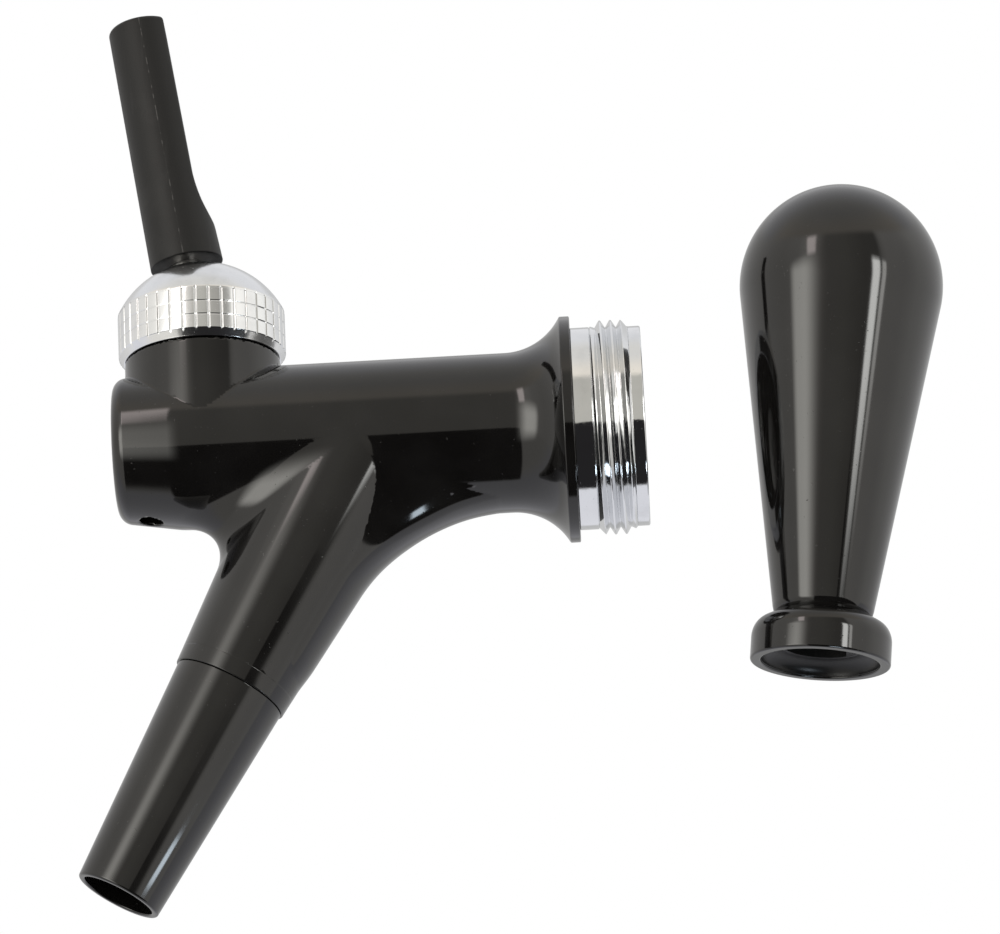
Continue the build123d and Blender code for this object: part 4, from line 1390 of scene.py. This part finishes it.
# ---------------------------------------------------------------- lever
@dataclass
class LeverStem:
    """Matt moulded stem: a round foot that runs through a sloping shoulder into a D section."""
    finishes: Finishes
    pivot: Triple = LEVER_PIVOT
    lean: float = LEVER_LEAN
    foot: float = LEVER_FOOT
    top: float = 59.2
    foot_r: float = 5.85
    foot_flare: float = 0.35
    flare_start: float = 25.5
    top_r: float = 5.5
    flat: float = 3.95
    shoulder_low: float = 21.8
    shoulder_high: float = 32.0
    top_edge: float = 0.8
    foot_edge: float = 0.2
    core_r: float = 2.85
    core_depth: float = 6.0
    corner: float = 0.30
    shoulder_power: float = 2.3
    shoulder_end: float = 4.0
    flare_power: float = 1.5
    far: float = 50.0
    cap_shares: tuple[float, ...] = (0.8, 0.5, 0.2)

    def flat_at(self, height: float) -> float:
        """Where the flat lies, through the sloping shoulder.

        Args:
            height: Height on the stem.

        Returns:
            Distance of the flat from the axis.
        """
        rise = self.foot_r - self.flat
        if height >= self.shoulder_high:
            return self.flat
        part = (self.shoulder_high - height) / (self.shoulder_high - self.shoulder_low)
        if part >= 1:
            return self.foot_r + (part - 1) * self.shoulder_end
        return self.flat + rise * part ** self.shoulder_power

    def section(self, height: float, angles: Array, inset: float) -> Array:
        """Section of the stem.

        Args:
            height: Height on the stem.
            angles: Angles round the axis, 0 towards the flat.
            inset: How far the outline is drawn in.

        Returns:
            Distance of the outline from the axis at each angle.
        """
        share = (height - self.foot) / (self.top - self.foot)
        radius = self.foot_r + (self.top_r - self.foot_r) * share
        facing = np.maximum(np.cos(angles), 0)
        limit = np.where(facing > 0.05, self.flat_at(height) / np.maximum(facing, 0.05), self.far)
        gap = np.clip((radius - limit) / self.corner * 0.5 + 0.5, 0, 1)
        blended = radius * (1 - gap) + limit * gap - self.corner * gap * (1 - gap)
        flare = min(max((self.flare_start - height) / (self.flare_start - self.foot), 0.0), 1.0)
        return blended + self.foot_flare * flare * facing ** self.flare_power - inset

    def rounding(self, end: float, edge: float, steps: Sequence[int]) -> list[Pair]:
        """Rings of a rounded end.

        Args:
            end: Height of the end.
            edge: Rounding radius, below 0 where the stem lies below the end.
            steps: Numbers of the rings in their order; 0 is on the stem's side, the largest on its end.

        Returns:
            Height and inset of each ring.
        """
        turns = [pi / 2 * step / max(steps) for step in steps]
        return [(end + edge * (1 - sin(turn)), abs(edge) * (1 - cos(turn))) for turn in turns]

    def make(self) -> Object:
        """Mesh the stem ring by ring.

        Returns:
            The piece.
        """
        lean = radians(self.lean)
        axis = axis_of(self.pivot, (-sin(lean), 0, cos(lean)), (1, 0, 0))
        angles = np.linspace(-pi, pi, 145)[:-1]
        straight = np.concatenate([np.linspace(self.foot + self.foot_edge, self.shoulder_low, 8)[1:-1],
                                   np.linspace(self.shoulder_low, self.shoulder_high, 24),
                                   np.linspace(self.shoulder_high, self.top - self.top_edge, 24)[1:]])
        rings = self.rounding(self.foot, self.foot_edge, range(6, -1, -1))
        rings += [(height, 0.0) for height in straight]
        rings += self.rounding(self.top, -self.top_edge, range(1, 8))
        radius = np.array([self.section(height, angles, inset) for height, inset in rings])
        cap = [radius[-1] * share for share in self.cap_shares]
        core = [np.full(len(angles), self.core_r)] * 2
        core_end = self.foot + self.core_depth
        heights = np.array([core_end, self.foot, *(ring[0] for ring in rings), *[self.top] * len(cap)])
        draft = Draft()
        rows = draft.add_points(axis.place(np.vstack([*core, radius, *cap]), heights[:, None], angles))
        draft.skin(rows, wrap_rows=False, wrap_columns=True)
        draft.fan(rows[-1], axis.origin + axis.along * self.top)
        draft.fan(rows[0], axis.origin + axis.along * core_end)
        return draft.build("lever_stem_moulding", self.finishes.lever)

    def build(self) -> None:
        """Make the stem and put it on the lever."""
        settle(self.make(), Body.LEVER, "lever_black", "lever_stem")


# ---------------------------------------------------------------- nozzle
@dataclass
class PullOffNozzle:
    """Tapered nozzle that is pushed onto the spout's tail, with rounded lips at both ends."""
    finishes: Finishes
    spout: SpoutLine
    length: float = 38.62
    top_r: float = 9.3
    tip_r: float = 7.1
    outlet_r: float = 6.03
    outlet_length: float = 9.0
    socket_r: float = 7.45
    socket_length: float = 8.6
    throat_r: float = 6.4
    throat_start: float = 3.0

    def make(self) -> Object:
        """Turn the nozzle inside and out.

        Returns:
            The piece.
        """
        outline = rounded([
            (self.socket_r, 0.0, 0.15), (self.top_r, 0.0, 0.2), (self.tip_r, self.length, 0.4),
            (self.outlet_r, self.length, 0.3), (self.outlet_r, self.length - self.outlet_length, 0.0),
            (self.throat_r, self.socket_length + self.throat_start, 0.0),
            (self.socket_r, self.socket_length, 0.0)])
        return turned("nozzle_cone", self.spout.axis(), outline, self.finishes.nozzle, 200)

    def build(self) -> None:
        """Make the nozzle and put it on its body."""
        settle(self.make(), Body.NOZZLE, "nozzle_black", "nozzle")


# ---------------------------------------------------------------- handle
@dataclass
class PearHandle:
    """The handle: a long cone that swells into a round head, on a turned base ring."""
    finishes: Finishes
    place: Triple = (37.38, 0.0, -42.49)
    lean_back: float = 6.6
    lean_side: float = 4.13
    height: float = 80.45
    head_r: float = 16.6
    head_centre: float = 63.67
    waist_r: float = 8.2
    waist: float = 9.2
    ring_r: float = 11.35
    ring_side: float = 3.8
    ring_height: float = 8.0
    shoulder_r: float = 9.0
    shoulder_rise: float = 3.2
    mouth_r: float = 9.6
    mouth_depth: float = 2.6
    rim_depth: float = 0.3
    dish_r: float = 6.3
    bush_r: float = 7.05
    lap: float = 0.3
    dish_lap: float = 0.15
    socket_top: float = 46.0

    def axis(self) -> Axis:
        """Axis of the handle, standing on its ring.

        Returns:
            The axis, which leans back and to the side.
        """
        back = Matrix.Rotation(radians(self.lean_back), 3, "Y")
        side = Matrix.Rotation(radians(self.lean_side), 3, "X")
        return axis_of(self.place, side @ back @ Vector((0, 0, 1)), (0, -1, 0))

    def make_shell(self) -> Object:
        """Turn the grip.

        Returns:
            The piece.
        """
        run = self.head_centre - self.waist
        reach = sqrt(run ** 2 + self.waist_r ** 2)
        slope = asin(self.head_r / reach) - atan2(self.waist_r, run)
        cone_end = (self.head_r * cos(slope), self.head_centre - self.head_r * sin(slope))
        foot_r = self.waist_r - self.lap
        outline = [(self.bush_r, self.ring_height), (foot_r, self.ring_height)]
        outline += rounded([(foot_r, self.ring_height, 0), (self.waist_r, self.waist, 1.2),
                            (*cone_end, 0)])[1:-1]
        outline += arc((0, self.head_centre), self.head_r, -degrees(slope), 0, 12)
        crown = self.height - self.head_centre
        outline += arc((0, self.head_centre), (self.head_r, crown), 0, 90, 48)[1:-1]
        outline += [(0.0, self.height), (0.0, self.socket_top), (self.bush_r, self.socket_top)]
        return turned("handle_grip", self.axis(), outline, self.finishes.handle, 240)

    def make_ring(self) -> Object:
        """Turn the base ring with its mouth.

        Returns:
            The piece.
        """
        shoulder = arc((self.shoulder_r, self.ring_side), (self.ring_r - self.shoulder_r, self.shoulder_rise),
                       0, 80, 14)
        foot_r = self.waist_r - self.lap
        outline = rounded([(self.bush_r, self.mouth_depth, 0), (self.mouth_r, self.mouth_depth, 0.5),
                           (self.mouth_r, 0, 0.3), (self.ring_r, 0, 0.4), (*shoulder[0], 0)])[:-1]
        outline += shoulder
        outline += [(self.waist_r + 0.1, self.ring_height - 0.25), (foot_r, self.ring_height - 0.15),
                    (foot_r, self.ring_height), (self.bush_r, self.ring_height)]
        return turned("handle_base_ring", self.axis(), outline, self.finishes.ferrule, 220)

    def make_dish(self) -> Object:
        """Turn the satin dish that leads from the ring's rim to the socket.

        Returns:
            The piece.
        """
        back, edge = self.mouth_depth + self.lap, self.mouth_r + self.dish_lap
        dish = arc((self.dish_r, self.rim_depth),
                   (self.mouth_r - self.dish_r, self.mouth_depth - self.rim_depth), 0, 90, 16)
        outline = dish + [(self.dish_r, back), (edge, back), (edge, self.rim_depth)]
        return turned("handle_mouth_dish", self.axis(), outline, self.finishes.dish, 180)

    def build(self) -> None:
        """Make the handle's pieces and put them on the handle."""
        settle(self.make_shell(), Body.HANDLE, "handle_black", "handle_shell")
        settle(self.make_ring(), Body.HANDLE, "ferrule_black", "handle_ferrule")
        settle(self.make_dish(), Body.HANDLE, "insert_black")


# ---------------------------------------------------------------- kept solids
def dress_kept_nodes(finishes: Finishes) -> None:
    """Finish the inner pieces, whose solids have the right shape.

    Args:
        finishes: The finishes.
    """
    kept = (
        (finishes.rubber, ("shank_seal", "seat_gasket", "piston_o_ring", "valve_washer", "turret_gasket",
                           "ball_upper_seal", "nozzle_o_ring")),
        (finishes.acetal_x, ("valve_seat", "piston")),
        (finishes.acetal_z, ("ball_lower_seat", "bonnet_thrust_ring")),
        (finishes.steel_x, ("washer_cup", "washer_locknut")),
        (finishes.steel_z, ("lever_core",)),
        (finishes.insert, ("handle_insert",)),
    )
    for material, names in kept:
        for name in names:
            dress_node(name, material)


# ---------------------------------------------------------------- studio
@dataclass(frozen=True)
class SoftLamp:
    """A rectangular soft lamp; place, aim and sizes are in millimetres, and a glow of 1 is white."""
    name: str
    place: Triple
    size: Pair
    glow: float
    colour: Triple
    aim: Triple = (0.0, 0.0, 0.0)
    gloss_only: bool = False
    soft: float = 0.35

    def add(self) -> None:
        """Add the lamp to the scene."""
        data = bpy.data.lights.new(self.name, "AREA")
        data.shape = "RECTANGLE"
        data.size, data.size_y = (side * MM * (1 + self.soft) for side in self.size)
        data.energy = self.glow * pi * data.size * data.size_y
        data.color = self.colour
        data.use_nodes = True
        graph = Graph(data.node_tree)
        spot = graph.node("ShaderNodeNewGeometry", output="Parametric")
        across = graph.node("ShaderNodeSeparateXYZ", {}, {0: spot})
        edge = self.soft / (1 + self.soft)
        fade = 1.0
        for side in (across, across.output("Y")):
            fade = (0.5 - (side - 0.5).call("ABSOLUTE")).step(0.0, edge) * fade
        glow = graph.node("ShaderNodeEmission", {}, {"Strength": fade})
        graph.node("ShaderNodeOutputLight", {}, {"Surface": glow})
        lamp = bpy.data.objects.new(self.name, data)
        lamp.location = Vector(self.place) * MM
        lamp.rotation_euler = (Vector(self.place) - Vector(self.aim)).to_track_quat("Z", "Y").to_euler()
        lamp.visible_camera = False
        lamp.visible_diffuse = not self.gloss_only
        bpy.context.scene.collection.objects.link(lamp)


@dataclass
class Studio:
    """Pale floor, white tent with a dark opening, soft lamps and the camera.

    The tent is only seen in reflections. Its colours have 1 as white, its bearings and elevations are
    in degrees, and each step between two of them is soft.
    """
    camera_at: Triple = (5.117, -991.331, -367.989)
    right: Triple = (0.998372, 0.034392, -0.045514)
    up: Triple = (0.054544, -0.341772, 0.938199)
    focal: float = 233.37
    sensor: float = 36.0
    floor_z: float = -560.0
    floor_half: float = 3000.0
    wall_glow: float = 2.2
    ambient: float = 0.62
    lamps: tuple[SoftLamp, ...] = (
        SoftLamp("left_panel", (-387, -400, -25), (347, 349), 4.0, (1.0, 0.985, 0.92), (-387, 0, -25),
                 soft=0.6),
        SoftLamp("left_flash", (-290, -502, 365), (110, 230), 4.2, (1.0, 0.88, 0.86), (-60, 0, 0)),
        SoftLamp("right_flash", (439, -502, 18), (123, 261), 10.5, (1.0, 1.0, 0.97), (439, 0, 18)),
        SoftLamp("right_panel", (590, -502, 18), (90, 261), 4.2, (1.0, 0.99, 0.95), (590, 0, 18)),
        SoftLamp("table_glint", (60, -50, -124), (26, 30), 12.0, (0.77, 0.89, 1.0), (60, -50, 0),
                 gloss_only=True),
    )
    walls: tuple[tuple[float, Triple], ...] = (
        (-180, (0.60, 0.60, 0.60)), (-140, (0.80, 0.79, 0.78)), (-110, (0.95, 0.93, 0.90)),
        (-70, (1.05, 1.02, 0.96)), (-50, (1.25, 1.21, 1.14)), (-44, (1.50, 1.45, 1.36)),
        (-34, (1.60, 1.54, 1.44)), (-27, (1.30, 1.24, 1.16)), (-20, (0.80, 0.76, 0.70)),
        (-16, (0.66, 0.63, 0.58)), (5, (0.62, 0.60, 0.54)), (27, (0.46, 0.44, 0.40)),
        (42, (0.40, 0.39, 0.36)), (47, (1.15, 1.12, 1.05)), (52, (1.35, 1.31, 1.24)),
        (75, (1.20, 1.17, 1.12)), (95, (1.25, 1.23, 1.18)), (125, (0.95, 0.94, 0.93)),
        (145, (0.80, 0.80, 0.80)), (180, (0.60, 0.60, 0.60)))
    roof_low: Triple = (1.10, 1.02, 0.90)
    roof_high: Triple = (0.90, 0.88, 0.84)
    roof_behind: Triple = (0.94, 0.94, 0.96)
    sheet_front: Triple = (0.97, 0.94, 0.88)
    sheet_behind: Triple = (0.92, 0.92, 0.97)
    dark: Triple = (0.010, 0.0095, 0.010)
    wall_top: Pair = (37.0, 46.0)
    roof_span: Pair = (44.0, 72.0)
    sheet_top: Pair = (-18.0, -10.0)
    opening_side: Triple = (0.907, -0.33, -0.262)
    opening_soft: float = 0.03
    rim_step: Pair = (25.0, 28.5)
    rim_low: float = -13.0
    rim_rise: float = 5.0
    rim_fall: float = 0.45
    rim_fall_from: float = 29.0
    rim_soft: float = 0.6

    def add_camera(self) -> None:
        """Place the camera."""
        right, up = Vector(self.right), Vector(self.up)
        data = bpy.data.cameras.new("studio_camera")
        data.lens = self.focal
        data.sensor_width = self.sensor
        data.sensor_fit = "HORIZONTAL"
        data.clip_start = 0.05
        data.clip_end = 20.0
        camera = bpy.data.objects.new("studio_camera", data)
        turn = Matrix((right, up, right.cross(up))).transposed()
        camera.matrix_world = Matrix.Translation(Vector(self.camera_at) * MM) @ turn.to_4x4()
        bpy.context.scene.collection.objects.link(camera)
        bpy.context.scene.camera = camera

    def add_floor(self) -> None:
        """Lay the pale floor."""
        half = self.floor_half
        corners = np.array([[(x, y, self.floor_z) for x in (-half, half)] for y in (-half, half)])
        draft = Draft()
        draft.skin(draft.add_points(corners), wrap_rows=False, wrap_columns=False)
        floor = draft.build("studio_floor", FloorPaint("floor_pale").make())
        floor.visible_glossy = False

    def dimmed(self, colour: Sequence[float]) -> tuple[float, ...]:
        """A colour of the tent as a share of the walls' glow."""
        return tuple(part / self.wall_glow for part in colour)

    def tent(self, graph: Graph) -> Signal:
        """Colour of the tent by direction, as glossy skins show it.

        Args:
            graph: Node graph of the world.

        Returns:
            The colour, as a share of the walls' glow.
        """
        way = graph.node("ShaderNodeTexCoord", output="Generated")
        x = graph.node("ShaderNodeSeparateXYZ", {}, {0: way})
        y, z = x.output("Y"), x.output("Z")
        bearing = x.call("ARCTAN2", y * -1.0) * degrees(1.0)
        elevation = z.call("ARCSINE") * degrees(1.0)
        stops = [((place + 180) / 360, self.dimmed(colour)) for place, colour in self.walls]
        walls = graph.node("ShaderNodeValToRGB", {"stops": stops}, {0: bearing * (1 / 360) + 0.5})
        roof = graph.mix_colour(elevation.step(*self.roof_span), self.dimmed(self.roof_low),
                                self.dimmed(self.roof_high))
        roof = graph.mix_colour(y.step(-0.15, 0.3), roof, self.dimmed(self.roof_behind))
        shell = graph.mix_colour(elevation.step(*self.wall_top), walls, roof)
        side = x * self.opening_side[0] + y * self.opening_side[1] + z * self.opening_side[2]
        opening = side.step(-self.opening_soft, self.opening_soft) * (1.0 - y.step(0.0, 0.08))
        sheet = graph.mix_colour(y.step(-0.3, 0.1), self.dimmed(self.sheet_front),
                                 self.dimmed(self.sheet_behind))
        below = 1.0 - elevation.step(*self.sheet_top)
        shell = graph.mix_colour(below * (1.0 - opening), shell, sheet)
        fall = (bearing - self.rim_fall_from).call("MAXIMUM", 0.0) * self.rim_fall
        rim = bearing.step(*self.rim_step) * self.rim_rise + self.rim_low - fall
        dark = opening * (rim - elevation).step(-self.rim_soft, self.rim_soft)
        return graph.mix_colour(dark, shell, self.dark)

    def add_world(self) -> None:
        """White behind the object, the tent in reflections and plain soft light for the rest."""
        world = bpy.data.worlds.new("white_tent")
        bpy.context.scene.world = world
        world.use_nodes = True
        graph = Graph(world.node_tree)
        camera = graph.node("ShaderNodeLightPath")
        glossy = camera.output("Is Glossy Ray")
        direct = camera.call("MAXIMUM", camera.output("Is Transmission Ray"))
        white = (1.0, 1.0, 1.0)
        colour = graph.mix_colour(glossy * (1.0 - direct), white, self.tent(graph))
        strength = direct + (1.0 - direct) * (glossy * (self.wall_glow - self.ambient) + self.ambient)
        background = graph.node("ShaderNodeBackground", {}, {"Color": colour, "Strength": strength})
        graph.node("ShaderNodeOutputWorld", {}, {"Surface": background})

    def build(self) -> None:
        """Set up camera, floor, world and lamps."""
        bpy.context.scene.view_settings.view_transform = "Standard"
        self.add_camera()
        self.add_floor()
        self.add_world()
        for lamp in self.lamps:
            lamp.add()


def main() -> None:
    logging.basicConfig(level=logging.INFO, format="%(name)s: %(message)s")
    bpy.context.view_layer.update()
    finishes = Finishes()
    spout = SpoutLine()
    Studio().build()
    TapBody(finishes, spout).build()
    CouplingCollar(finishes).build()
    BonnetNut(finishes).build()
    LeverStem(finishes).build()
    PullOffNozzle(finishes, spout).build()
    PearHandle(finishes).build()
    dress_kept_nodes(finishes)


if __name__ == "__main__":
    main()
